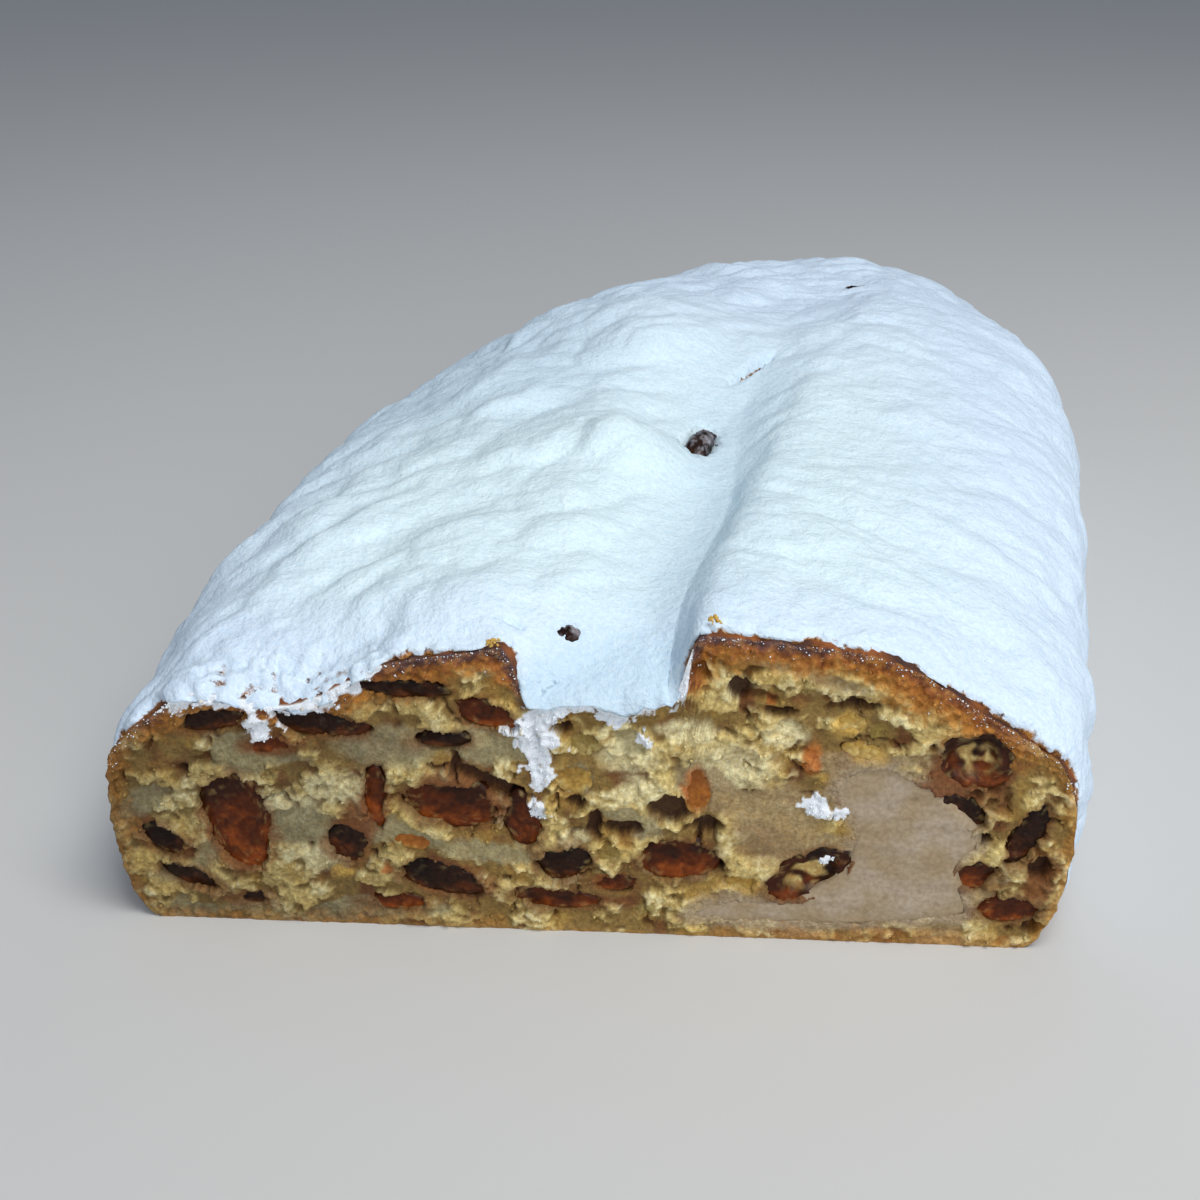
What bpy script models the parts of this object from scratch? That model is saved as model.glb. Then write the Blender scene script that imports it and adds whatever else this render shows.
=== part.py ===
# A stollen that has been cut across once: a folded fruit loaf with a marzipan
# core, under a thick coat of icing sugar. The cut is a plane of constant Y and
# faces -Y. The loaf runs back from it along +Y and leans a little to +X.
# Sizes are in millimetres and become metres where the meshes are made.

import math

import bmesh
import bpy
import numpy as np
from mathutils import Matrix, Vector

MM = 0.001

# The dough, seen from above. Its first section lies in front of the cut, and
# the knife takes that piece off.
LENGTH = 246.0
OVERRUN = 4.0
CUT_HALF_WIDTH = 68.7
FULL_HALF_WIDTH = 73.6
FULL_WIDTH_AT = 100.0
LEAN = 0.075
LEAN_GROWTH = 0.00056
CUT_OFFSET = -2.2
CUT_OFFSET_FADE = 25.0
SPINE_END = 172.0
SPINE_SOFTNESS = 12.0

# The dough's cross-section: how high the crown and the widest line stand, how
# far the foot draws in, and the power of the dome's superellipse.
CROWN = 48.6
BELLY = 17.0
FOOT_INSET = 5.5
DOME_POWER = 2.8
LENGTHWISE_ARCH = 2.0
END_DROP = 8.5

# How finely the skin is divided: stations along one side and round half of the
# end, angles in degrees below the widest line, and shares of the way out from
# the spine above it.
SIDE_STATIONS = 9
END_STATIONS = 13
LOW_ANGLES = (90, 55, 25)
DOME_SHARES = (1, 0.975, 0.92, 0.82, 0.69, 0.55, 0.42, 0.3, 0.2, 0.11, 0.04, 0)
COAT_FIRST_ROW = 1

COAT_THICKNESS = 1.6
GAP = 0.32

# The valley along the top, where the dough was folded over: the crest of its
# right wall is at FOLD_X at the cut and moves to +X along the loaf.
FOLD_X = 12.5
FOLD_SLOPE = 0.19
FOLD_CURVE = 0.00035

# Rounded swellings and hollows of the top: x, y, radius in x, radius in y,
# height, turn in degrees.
SWELLINGS = (
    (15, 12, 16, 40, 1.8, 0),
    (3, 66, 10, 12, 2.6, 0),
    (2, 128, 24, 28, 3.2, 10),
    (36, 0, 9, 16, 1.2, 0),
    (60, -2, 10, 18, -4.0, 0),
    (-33, 28, 22, 6, -2.0, 50),
    (-40, 72, 26, 7, -1.6, 25),
    (-30, 4, 12, 10, -2.8, 0),
    (-45, -3, 11, 11, -7.0, 0),
    (-66, 0, 7, 20, -4.0, 0),
    (-40, 168, 9, 9, -3.0, 0),
)

# The marzipan's section at the cut, as corners that a smooth closed curve
# passes through, x and z, and how it runs on inside the loaf: at each y, the
# share of the section's size.
MARZIPAN_SECTION = (
    (13.5, 3.9),
    (18.5, 6.3),
    (26.5, 6),
    (32.5, 9),
    (36, 14),
    (36, 20.5),
    (33, 26.5),
    (38.5, 30),
    (45.5, 26.3),
    (52.8, 19),
    (50.2, 13.2),
    (52.2, 6.2),
    (45, 4.4),
    (35, 3.4),
    (20, 2.9),
)
MARZIPAN_CORE = (39, 13)
MARZIPAN_STATIONS = ((-OVERRUN, 1), (60, 1), (120, 1), (165, 0.92), (182, 0.75), (189, 0.5), (192, 0.2))
POINTS_BETWEEN_CORNERS = 2

# Fruit at the cut: x and z of its middle, width, height, tilt in degrees, and
# how much narrower its lower end is.
DARK_RAISINS = (
    (-54.0, 34.4, 9.6, 3.4, 12, 0),
    (-39.4, 34.4, 12.4, 4.2, -8, 0),
    (-27.3, 40.2, 12.4, 2.6, -3, 0),
    (-21.7, 32.3, 7.0, 2.6, 0, 0),
    (-63.6, 13.9, 8.0, 4.8, -28, 0),
    (-59.8, 7.1, 9.0, 3.8, -25, 0),
    (-51.6, 3.6, 4.8, 2.0, 0, 0),
    (-36.6, 14.0, 6.4, 6.6, 0, 0.2),
    (-23.2, 8.3, 12.0, 5.0, -15, 0),
    (-5.5, 12.0, 8.4, 6.0, 0, 0.3),
    (49.4, 23.4, 8.6, 4.4, -20, 0),
    (60.2, 19.5, 3.8, 10.2, -20, 0),
    (51.6, 31.6, 11.4, 8.6, -8, 0),
)
AMBER_RAISINS = (
    (-52.3, 17.0, 10.4, 15.4, 6, 0.35),
    (-46.6, 30.6, 6.4, 2.6, 8, 0),
    (-15.5, 36.6, 8.6, 4.0, -15, 0),
    (-21.2, 21.6, 12.6, 7.2, -8, 0),
    (-11.2, 19.2, 4.8, 8.4, 12, 0),
    (-32.0, 22.5, 3.0, 9.6, 0, 0),
    (-29.6, 3.8, 8.4, 2.4, 0, 0),
    (-6.6, 5.6, 12.0, 3.4, -5, 0),
    (11.2, 13.2, 10.4, 6.6, 4, 0),
    (2.0, 8.7, 6.0, 2.6, 0, 0),
    (53.4, 12.3, 7.0, 4.4, 5, 0),
    (59.3, 6.7, 8.6, 4.6, 8, 0),
    (30.2, 11.2, 13.0, 7.8, 28, 0),
)
PEEL = (
    (-1.9, 32.4, 5.0, 4.2, 0, 0),
    (-3.4, 26.4, 5.2, 4.4, 0, 0),
    (-26.8, 14.8, 5.6, 2.8, 0, 0),
    (1.3, 13.6, 4.0, 3.8, 0, 0),
    (13.6, 25.0, 3.4, 6.8, 0, 0),
    (20.7, 9.4, 4.8, 3.2, 0, 0),
    (36.2, 32.6, 5.6, 2.6, -10, 0),
    (33.6, 37.0, 5.2, 2.6, 0, 0),
)
# Raisins that show through the sugar on top: x, y, length, width, height, turn.
TOP_RAISINS = (
    (13.2, 80.0, 6.0, 10.0, 6.0, -25),
    (-5.6, 9.0, 7.0, 5.0, 5.0, 20),
    (49.5, 181.0, 6.0, 5.0, 5.0, 0),
)
FRUIT_SIDES = 10
FRUIT_RINGS = 5
PROUD = 0.5
CUT_DEPTH_BEHIND = 1.2
WRINKLE = 0.06
TOP_RAISIN_SINK = 0.3

# Colour, as linear red, green, blue and alpha, and roughness.
FINISHES = {
    "crumb": ((0.60, 0.46, 0.22, 1), 0.85),
    "icing_sugar": ((0.88, 0.90, 0.93, 1), 0.9),
    "marzipan": ((0.66, 0.54, 0.36, 1), 0.6),
    "dark_raisin": ((0.07, 0.03, 0.015, 1), 0.35),
    "amber_raisin": ((0.22, 0.07, 0.02, 1), 0.35),
    "candied_peel": ((0.62, 0.42, 0.09, 1), 0.4),
}


def ease(low, high, x):
    """0 below low, 1 above high, and a smooth rise between."""
    t = np.clip((x - low) / (high - low), 0, 1)
    return t * t * (3 - 2 * t)


def centre_x(y):
    """The middle of the loaf's width: it drifts to +X, and stands off to -X at the cut."""
    return LEAN * y + LEAN_GROWTH * y * y + CUT_OFFSET * np.exp(-y / CUT_OFFSET_FADE)


def outline():
    """The plan outline, from the left side's front round the far end to the right side's front."""
    y = np.linspace(-OVERRUN, FULL_WIDTH_AT, SIDE_STATIONS, endpoint=False)
    swell = np.sin(math.pi / 2 * y / FULL_WIDTH_AT)
    half = CUT_HALF_WIDTH + (FULL_HALF_WIDTH - CUT_HALF_WIDTH) * swell
    turn = np.linspace(math.pi, 0, 2 * END_STATIONS + 1)
    end_y = FULL_WIDTH_AT + (LENGTH - FULL_WIDTH_AT) * np.sin(turn)
    end_x = centre_x(end_y) + FULL_HALF_WIDTH * np.cos(turn)
    left = np.stack([centre_x(y) - half, y], 1)
    right = np.stack([centre_x(y) + half, y], 1)[::-1]
    return np.vstack([left, np.stack([end_x, end_y], 1), right])


def spine(y):
    """The crown line's points: abreast of each station, but gathered near SPINE_END for the far end."""
    soft = -SPINE_SOFTNESS * np.log(np.exp(-y / SPINE_SOFTNESS) + math.exp(-SPINE_END / SPINE_SOFTNESS))
    along = np.minimum(soft, SPINE_END - 1)
    return np.stack([centre_x(along), along], 1)


def swelling(x, y, middle_x, middle_y, radius_x, radius_y, height, turn):
    """A round swelling, whose height falls off as a bell curve."""
    a = math.radians(turn)
    u = ((x - middle_x) * math.cos(a) + (y - middle_y) * math.sin(a)) / radius_x
    v = ((y - middle_y) * math.cos(a) - (x - middle_x) * math.sin(a)) / radius_y
    return height * np.exp(-u * u - v * v)


def valley(x, y):
    """Depth of the fold's valley: a steep right wall, and a left wall that eases off along the loaf."""
    crest = FOLD_X + FOLD_SLOPE * y + FOLD_CURVE * y * y
    width = 8 - 4 * ease(40, 150, y)
    floor = crest - width
    depth = 11 - 3 * ease(0, 40, y) - 3.5 * ease(50, 110, y) - 2.5 * ease(130, 190, y)
    left_edge = np.minimum(-11 + 0.4 * y - 0.0009 * y * y, floor - 7)
    left_slope = 6 - 2 * ease(0, 12, y) + 10 * ease(4, 45, y) * (1 - ease(60, 110, y))
    right_wall = 1 - ease(floor + 0.35 * width, crest + 1.5, x)
    left_wall = ease(left_edge - 0.25 * left_slope, left_edge + left_slope, x)
    return depth * right_wall * left_wall


def dome_height(x, y, rise):
    """Height of the skin above the widest line, where rise is the superellipse's share of the crown."""
    drop = END_DROP * ease(120, 250, y) ** 1.2
    crown = CROWN + LENGTHWISE_ARCH * np.sin(math.pi * np.clip(y / LENGTH, 0, 1)) - drop
    relief = sum(swelling(x, y, *sizes) for sizes in SWELLINGS) - valley(x, y)
    return BELLY + rise * (crown - BELLY) + ease(0.25, 0.95, rise) * relief


def skin_rows():
    """The skin as rows of points, from the foot up to the spine, each row along the outline."""
    edge = outline()
    start = spine(edge[:, 1])
    reach = edge - start
    inward = -reach / np.linalg.norm(reach, axis=1, keepdims=True)
    rows = []
    for angle in LOW_ANGLES:
        a = math.radians(angle)
        plan = edge + inward * FOOT_INSET * (1 - math.cos(a))
        height = np.full(len(edge), BELLY * (1 - math.sin(a)))
        rows.append(np.column_stack([plan, height]))
    for share in DOME_SHARES:
        plan = start + reach * share
        rise = (1 - share**DOME_POWER) ** (1 / DOME_POWER)
        height = dome_height(plan[:, 0], plan[:, 1], rise)
        rows.append(np.column_stack([plan, height]))
    return rows


def add_bridges(shape, rows, closed):
    """Faces between neighbouring rows of points. It returns the rows of new vertices."""
    made = [[shape.verts.new(point) for point in row] for row in rows]
    for lower, upper in zip(made, made[1:]):
        count = len(lower) if closed else len(lower) - 1
        for i in range(count):
            j = (i + 1) % len(lower)
            shape.faces.new((lower[i], lower[j], upper[j], upper[i]))
    return made


def skin_shape(first_row, filled):
    """The loaf's skin from one row up. When filled, its front and its base are closed.

    It is made of triangles, so that the dough and the sugar on it bend along the same lines.
    """
    shape = bmesh.new()
    rows = add_bridges(shape, skin_rows()[first_row:], closed=False)
    if filled:
        left_edge = [row[0] for row in rows]
        right_edge = [row[-1] for row in rows[:-1]]
        shape.faces.new(left_edge + right_edge[::-1])
        shape.faces.new(rows[0][::-1])
    bmesh.ops.remove_doubles(shape, verts=shape.verts, dist=0.02)
    bmesh.ops.triangulate(shape, faces=shape.faces, quad_method="FIXED")
    bmesh.ops.recalc_face_normals(shape, faces=shape.faces)
    return shape


def smooth_section():
    """Points on a closed Catmull-Rom curve through the marzipan section's corners."""
    corners = np.array(MARZIPAN_SECTION, float)
    before, after, beyond = (np.roll(corners, shift, 0) for shift in (1, -1, -2))
    points = []
    for step in range(POINTS_BETWEEN_CORNERS):
        t = step / POINTS_BETWEEN_CORNERS
        points.append(
            0.5
            * (
                2 * corners
                + (after - before) * t
                + (2 * before - 5 * corners + 4 * after - beyond) * t**2
                + (3 * corners - before - 3 * after + beyond) * t**3
            )
        )
    return np.stack(points, 1).reshape(-1, 2)


def marzipan_shape(extra):
    """The marzipan, which narrows to a rounded end inside the loaf; extra grows it all round."""
    section = smooth_section()
    along = np.roll(section, -1, 0) - np.roll(section, 1, 0)
    outward = np.stack([-along[:, 1], along[:, 0]], 1) / np.linalg.norm(along, axis=1, keepdims=True)
    core = np.array(MARZIPAN_CORE)
    rows = []
    for y, share in MARZIPAN_STATIONS:
        points = core + (section - core) * share + extra * outward
        drift = centre_x(max(y, 0)) - CUT_OFFSET
        station = y + (extra if y > 0 else 0)
        rows.append(np.column_stack([points[:, 0] + drift, np.full(len(points), station), points[:, 1]]))
    shape = bmesh.new()
    made = add_bridges(shape, rows, closed=True)
    shape.faces.new(made[0][::-1])
    shape.faces.new(made[-1])
    bmesh.ops.triangulate(shape, faces=shape.faces, quad_method="FIXED")
    bmesh.ops.recalc_face_normals(shape, faces=shape.faces)
    return shape


def fruit_shape(half_sizes, taper, phase, extra):
    """A wrinkled ellipsoid around the origin, narrower towards -Z by taper; extra grows it all round."""
    shape = bmesh.new()
    poles_along_y = Matrix.Rotation(math.radians(90), 4, "X")
    bmesh.ops.create_uvsphere(
        shape, u_segments=FRUIT_SIDES, v_segments=FRUIT_RINGS, radius=1, matrix=poles_along_y
    )
    for vertex in shape.verts:
        x, y, z = vertex.co
        wrinkle = 1 + WRINKLE * math.sin(4 * math.atan2(z, x) + phase) * (1 - y * y)
        narrow = 1 - taper * (1 - z) / 2
        point = Vector((x * wrinkle * narrow * half_sizes[0], y * half_sizes[1], z * wrinkle * half_sizes[2]))
        vertex.co = point + point.normalized() * extra
    return shape


def finish_material(name):
    """The Principled material of this name, made once."""
    found = bpy.data.materials.get(name)
    if found:
        return found
    colour, roughness = FINISHES[name]
    made = bpy.data.materials.new(name)
    made.use_nodes = True
    made.diffuse_color = colour
    shader = made.node_tree.nodes["Principled BSDF"]
    shader.inputs["Base Color"].default_value = colour
    shader.inputs["Roughness"].default_value = roughness
    return made


def add_piece(name, shape, collection, finish):
    """Makes an object in metres from a bmesh in millimetres, and frees the bmesh."""
    bmesh.ops.scale(shape, vec=(MM, MM, MM), verts=shape.verts)
    mesh = bpy.data.meshes.new(name)
    shape.to_mesh(mesh)
    shape.free()
    mesh.shade_smooth()
    mesh.set_sharp_from_angle(angle=math.radians(50))
    mesh.materials.append(finish_material(finish))
    piece = bpy.data.objects.new(name, mesh)
    collection.objects.link(piece)
    return piece


def add_tool(name, shape, collection):
    """Makes a cutting tool, which shows as wire only and stays out of renders."""
    bmesh.ops.scale(shape, vec=(MM, MM, MM), verts=shape.verts)
    mesh = bpy.data.meshes.new(name)
    shape.to_mesh(mesh)
    shape.free()
    tool = bpy.data.objects.new(name, mesh)
    tool.hide_render = True
    tool.display_type = "WIRE"
    collection.objects.link(tool)
    return tool


def cut_with(target, tool):
    """Takes the tool's shape out of the target."""
    cut = target.modifiers.new("cut by " + tool.name, "BOOLEAN")
    cut.operation = "DIFFERENCE"
    cut.solver = "EXACT"
    cut.object = tool


def add_knife(tools):
    """A block in front of the cut, which takes off all that lies there."""
    shape = bmesh.new()
    depth = 6 * OVERRUN
    size = Matrix.Diagonal((3 * FULL_HALF_WIDTH, depth, 3 * CROWN, 1))
    place = Matrix.Translation((0, -depth / 2, CROWN))
    bmesh.ops.create_cube(shape, size=1, matrix=place @ size)
    return add_tool("knife", shape, tools)


def add_coat(loaf, knife):
    """The icing sugar: the skin from just above the foot, lifted off the dough and thickened."""
    coat = add_piece("sugar_coat", skin_shape(COAT_FIRST_ROW, filled=False), loaf, "icing_sugar")
    lift = coat.modifiers.new("gap to the dough", "DISPLACE")
    lift.strength = GAP * MM
    lift.mid_level = 0
    thicken = coat.modifiers.new("thickness", "SOLIDIFY")
    thicken.thickness = COAT_THICKNESS * MM
    thicken.offset = 1
    cut_with(coat, knife)
    return coat


def add_cut_fruit(name, place, phase, finish, loaf, tools):
    """A fruit that the knife has sliced, which stands a little proud of the cut. It returns its pocket."""
    x, z, width, height, tilt, taper = place
    half_sizes = (width / 2, min(width, height) / 2 + CUT_DEPTH_BEHIND, height / 2)
    to_place = Matrix.Translation((x, 0, z)) @ Matrix.Rotation(math.radians(-tilt), 4, "Y")
    fruit = fruit_shape(half_sizes, taper, phase, 0)
    fruit.transform(to_place)
    everything = fruit.verts[:] + fruit.edges[:] + fruit.faces[:]
    sliced = bmesh.ops.bisect_plane(
        fruit, geom=everything, plane_co=(0, -PROUD, 0), plane_no=(0, -1, 0), clear_outer=True
    )
    rim = [item for item in sliced["geom_cut"] if isinstance(item, bmesh.types.BMEdge)]
    bmesh.ops.contextual_create(fruit, geom=rim)
    bmesh.ops.recalc_face_normals(fruit, faces=fruit.faces)
    add_piece(name, fruit, loaf, finish)
    pocket = fruit_shape(half_sizes, taper, phase, GAP)
    pocket.transform(to_place)
    return add_tool(name + "_pocket", pocket, tools)


def add_top_raisin(name, place, phase, loaf, tools):
    """A raisin in the loaf's top that shows through the sugar. It returns its pocket."""
    x, y, length, width, height, turn = place
    skin_z = float(dome_height(np.array(x), np.array(y), 1.0))
    middle_z = skin_z + COAT_THICKNESS - TOP_RAISIN_SINK * height
    to_place = Matrix.Translation((x, y, middle_z)) @ Matrix.Rotation(math.radians(turn), 4, "Z")
    half_sizes = (length / 2, width / 2, height / 2)
    raisin = fruit_shape(half_sizes, 0, phase, 0)
    raisin.transform(to_place)
    add_piece(name, raisin, loaf, "dark_raisin")
    pocket = fruit_shape(half_sizes, 0, phase, GAP)
    pocket.transform(to_place)
    return add_tool(name + "_pocket", pocket, tools)


def boxes_meet(a, b):
    """Whether the boxes round two objects' own meshes overlap."""
    a_points, b_points = (np.array([vertex.co for vertex in item.data.vertices]) for item in (a, b))
    a_before_b = np.all(a_points.min(0) < b_points.max(0))
    b_before_a = np.all(b_points.min(0) < a_points.max(0))
    return a_before_b and b_before_a


def stand_on_origin(loaf, tools):
    """Parents everything to one empty, placed so that the loaf's box stands centred on the origin."""
    bpy.context.view_layer.update()
    graph = bpy.context.evaluated_depsgraph_get()
    pieces = list(loaf.objects)
    corners = np.array([corner for piece in pieces for corner in piece.evaluated_get(graph).bound_box])
    low, high = corners.min(0), corners.max(0)
    stand = bpy.data.objects.new("stand", None)
    stand.location = (-(low[0] + high[0]) / 2, -(low[1] + high[1]) / 2, -low[2])
    loaf.objects.link(stand)
    for item in pieces + list(tools.objects):
        item.parent = stand


def new_collection(name):
    made = bpy.data.collections.new(name)
    bpy.context.scene.collection.children.link(made)
    return made


def build():
    for item in list(bpy.data.objects):
        bpy.data.objects.remove(item)
    loaf = new_collection("stollen")
    tools = new_collection("cutting tools")
    knife = add_knife(tools)

    dough = add_piece("dough", skin_shape(0, filled=True), loaf, "crumb")
    coat = add_coat(loaf, knife)
    marzipan = add_piece("marzipan", marzipan_shape(0), loaf, "marzipan")
    cut_with(dough, knife)
    cut_with(marzipan, knife)
    cut_with(dough, add_tool("marzipan_bed", marzipan_shape(GAP), tools))

    pockets = []
    kinds = (
        ("raisin_dark", DARK_RAISINS, "dark_raisin"),
        ("raisin_amber", AMBER_RAISINS, "amber_raisin"),
        ("peel", PEEL, "candied_peel"),
    )
    for prefix, places, finish in kinds:
        for number, place in enumerate(places, 1):
            name = f"{prefix}_{number:02d}"
            pockets.append(add_cut_fruit(name, place, 1.7 * number, finish, loaf, tools))
    for number, place in enumerate(TOP_RAISINS, 1):
        pocket = add_top_raisin(f"raisin_top_{number:02d}", place, 2.3 * number, loaf, tools)
        cut_with(coat, pocket)
        pockets.append(pocket)
    for pocket in pockets:
        cut_with(dough, pocket)
        if boxes_meet(marzipan, pocket):
            cut_with(marzipan, pocket)
    stand_on_origin(loaf, tools)


build()
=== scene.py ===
# A stollen that has been cut across: the finish of every surface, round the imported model.
# Shapes are worked out in millimetres in the loaf's own frame, where the cut is the
# plane y = 0, the loaf runs back along +y, and it rests on z = 0.

import math

import bpy
import numpy as np
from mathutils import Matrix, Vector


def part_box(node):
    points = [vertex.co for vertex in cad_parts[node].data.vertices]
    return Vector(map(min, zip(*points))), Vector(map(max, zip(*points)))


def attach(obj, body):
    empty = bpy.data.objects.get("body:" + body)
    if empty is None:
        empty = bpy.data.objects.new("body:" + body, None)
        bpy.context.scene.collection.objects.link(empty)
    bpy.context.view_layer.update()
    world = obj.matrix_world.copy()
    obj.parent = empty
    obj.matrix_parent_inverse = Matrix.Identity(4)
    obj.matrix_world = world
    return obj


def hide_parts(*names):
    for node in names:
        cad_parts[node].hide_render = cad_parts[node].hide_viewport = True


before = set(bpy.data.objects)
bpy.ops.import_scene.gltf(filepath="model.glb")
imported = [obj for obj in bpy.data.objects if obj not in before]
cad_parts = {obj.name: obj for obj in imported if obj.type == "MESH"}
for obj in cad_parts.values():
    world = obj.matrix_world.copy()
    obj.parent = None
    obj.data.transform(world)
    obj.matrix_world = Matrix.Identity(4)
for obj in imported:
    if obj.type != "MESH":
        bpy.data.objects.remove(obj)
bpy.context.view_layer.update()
print("frame loaded")

# the loaf's form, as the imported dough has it
loaf = dict(
    length=246.0, cutHalf=68.7, fullHalf=73.6, fullAt=100.0, lean=0.075, leanGrowth=0.00056,
    cutOffset=-2.2, cutOffsetFade=25.0, spineEnd=172.0, spineSoftness=12.0, crown=48.6, belly=17.0,
    footInset=5.5, power=2.8, arch=2.0, endDrop=8.5,
)

# swellings and hollows of the top: x, y, radius in x, radius in y, height, turn
swellings = [
    (15, 12, 16, 40, 1.8, 0), (1.5, 65, 8, 9, 5.4, 0), (4, 128, 22, 26, 4.4, 10),
    (36, 0, 9, 16, 1.2, 0), (60, -2, 10, 18, -4.0, 0), (-33, 28, 22, 6, -2.0, 50),
    (-40, 72, 26, 7, -1.6, 25), (-30, 4, 12, 10, -2.8, 0), (-45, -3, 11, 11, -7.0, 0),
    (-66, 0, 7, 20, -4.0, 0), (-40, 168, 9, 9, -3.0, 0), (-41, 0, 8, 9, -1.5, 0),
    (-18, 0, 8, 9, -1.0, 0), (50, 0, 6, 9, -0.8, 0), (-44, 120, 16, 30, -3.2, 0),
    (-28, 172, 18, 30, -3.4, 0), (54, 213, 20, 22, 3.0, 0), (80, 188, 16, 26, -4.2, 0),
    (-50, 130, 14, 26, -2.2, 0),
]


# --- sums that every piece uses


def paint(red, green, blue):  # a screen colour, 0 to 255, as linear light
    screen = np.array([red, green, blue]) / 255
    return np.where(screen <= 0.04045, screen / 12.92, ((screen + 0.055) / 1.055) ** 2.4)


def rise(low, high, x):  # 0 below low, 1 above high, and a smooth step between
    t = np.clip((x - low) / (high - low), 0, 1)
    return t * t * (3 - 2 * t)


def fall(low, high, x):  # 1 below low, 0 above high
    return 1 - rise(low, high, x)


def between(low, full, past, high, x):  # rises to 1, stays there, and falls back to 0
    return rise(low, full, x) * fall(past, high, x)


def blend(base, colour, share):  # moves each row of base towards a colour by its share
    return base + (np.asarray(colour) - base) * np.clip(share, 0, 1)[..., None]


shuffle = np.random.default_rng(5).permutation(256)
slopes = np.random.default_rng(6).normal(size=(256, 3))
slopes /= np.linalg.norm(slopes, axis=1, keepdims=True)
scatter = np.random.default_rng(7).random((256, 3))


def cellKey(cell):  # a number from 0 to 255 for each whole-numbered cell
    first = shuffle[cell[..., 0] & 255] + cell[..., 1]
    second = shuffle[first & 255] + cell[..., 2]
    return shuffle[second & 255]


def ripple(points, size, seed=0):
    # gradient noise, about -1 to 1: slopes at the cell's eight corners, blended by a smooth step
    place = points / size + seed * 31.7
    cell = np.floor(place).astype(int)
    part = place - cell
    fade = part**3 * (part * (part * 6 - 15) + 10)
    total = 0
    for corner in np.ndindex(2, 2, 2):
        slope = slopes[cellKey(cell + corner)]
        weight = np.prod(np.where(corner, fade, 1 - fade), axis=-1)
        total = total + weight * ((part - corner) * slope).sum(-1)
    return 1.7 * total


def rough(points, size, octaves, seed=0, gain=0.5, fold=np.positive):
    # ripples of halving size and falling height, added up
    total, height = 0, 1
    for octave in range(octaves):
        total = total + height * fold(ripple(points, np.asarray(size) / 2**octave, seed + octave))
        height *= gain
    return total


def puffs(points, size, octaves, seed=0, gain=0.5):
    # rounded lumps with sharp creases between them: the size of each ripple without its sign
    return rough(points, size, octaves, seed, gain, np.abs)


def pores(points, size, seed=0):
    # distance to the nearest of points strewn one to a cell, and that point's number from 0 to 1
    place = points / size + seed * 13.1
    cell = np.floor(place).astype(int)
    near = np.full(points.shape[:-1], 9.0)
    who = 0 * near
    for step in np.ndindex(3, 3, 3):
        home = cell + np.array(step) - 1
        key = cellKey(home)
        gap = np.linalg.norm(home + scatter[key] - place, axis=-1)
        who = np.where(gap < near, key / 255, who)
        near = np.minimum(near, gap)
    return near, who


def turnedAxes(across, along, degrees):  # two coordinates, read in axes that are turned by an angle
    cos, sin = np.cos(np.radians(degrees)), np.sin(np.radians(degrees))
    return across * cos + along * sin, along * cos - across * sin


def ovalNumbers(oval):  # middle x and z, width, height, and tilt in degrees and taper, 0 if not given
    return (*oval, 0, 0)[:6]


def inOval(x, z, oval):  # 0 at the middle of a tilted oval, 1 on its edge
    middleX, middleZ, width, height, tilt, taper = ovalNumbers(oval)
    u, v = turnedAxes(x - middleX, z - middleZ, tilt)
    u, v = u / (width / 2), v / (height / 2)
    return np.hypot(u / (1 - taper * (1 - np.clip(v, -1, 1)) / 2), v)


# --- the loaf's skin


def centreX(y):  # where the loaf's middle lies, y behind the cut
    fade = np.exp(-y / loaf["cutOffsetFade"])
    return loaf["lean"] * y + loaf["leanGrowth"] * y**2 + loaf["cutOffset"] * fade


def spineLine(y):  # the crown line abreast of y, which stops short of the far end
    soft = loaf["spineSoftness"]
    along = -soft * np.log(np.exp(-y / soft) + math.exp(-loaf["spineEnd"] / soft))
    return np.stack([centreX(along), along], -1)


def foldCrest(y):  # x of the crest on the right of the fold's valley
    return 12.5 + 0.19 * y + 0.00035 * y * y


def valley(x, y):
    # the fold's valley: a right wall that is steep near the cut, one long slope down to its foot
    # from the left, and at the cut a deeper notch with a flat floor and a steep left side
    crest, notch = foldCrest(y), np.exp(-((y / 8) ** 2))
    right = crest - 3 - 1.2 * rise(0, 12, y) - 10 * rise(40, 110, y)
    left = right - 1 - 18 * notch
    slope = 4 + 22 * rise(0, 12, y)
    depth = 7 + 2.8 * notch - rise(35, 85, y) - 2.5 * rise(90, 130, y) - 2.5 * rise(140, 225, y)
    soft = 0.38 * rise(3, 16, y) * fall(40, 110, y)
    climb = (1 - soft) * rise(right, crest + 1, x) + soft * rise(right - 9, crest + 4, x)
    return depth * (1 - climb) * rise(left - slope, left, x)


def domeHeight(x, y, rising):  # height over the widest line, with the swellings, hollows and valley
    relief = -valley(x, y)
    for middleX, middleY, radiusX, radiusY, height, turn in swellings:
        u, v = turnedAxes(x - middleX, y - middleY, turn)
        relief = relief + height * np.exp(-((u / radiusX) ** 2) - (v / radiusY) ** 2)
    crown = loaf["crown"] + loaf["arch"] * np.sin(np.pi * np.clip(y / loaf["length"], 0, 1))
    crown = crown - loaf["endDrop"] * rise(120, 250, y) ** 1.2
    return loaf["belly"] + rising * (crown - loaf["belly"]) + rise(0.25, 0.95, rising) * relief


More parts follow.
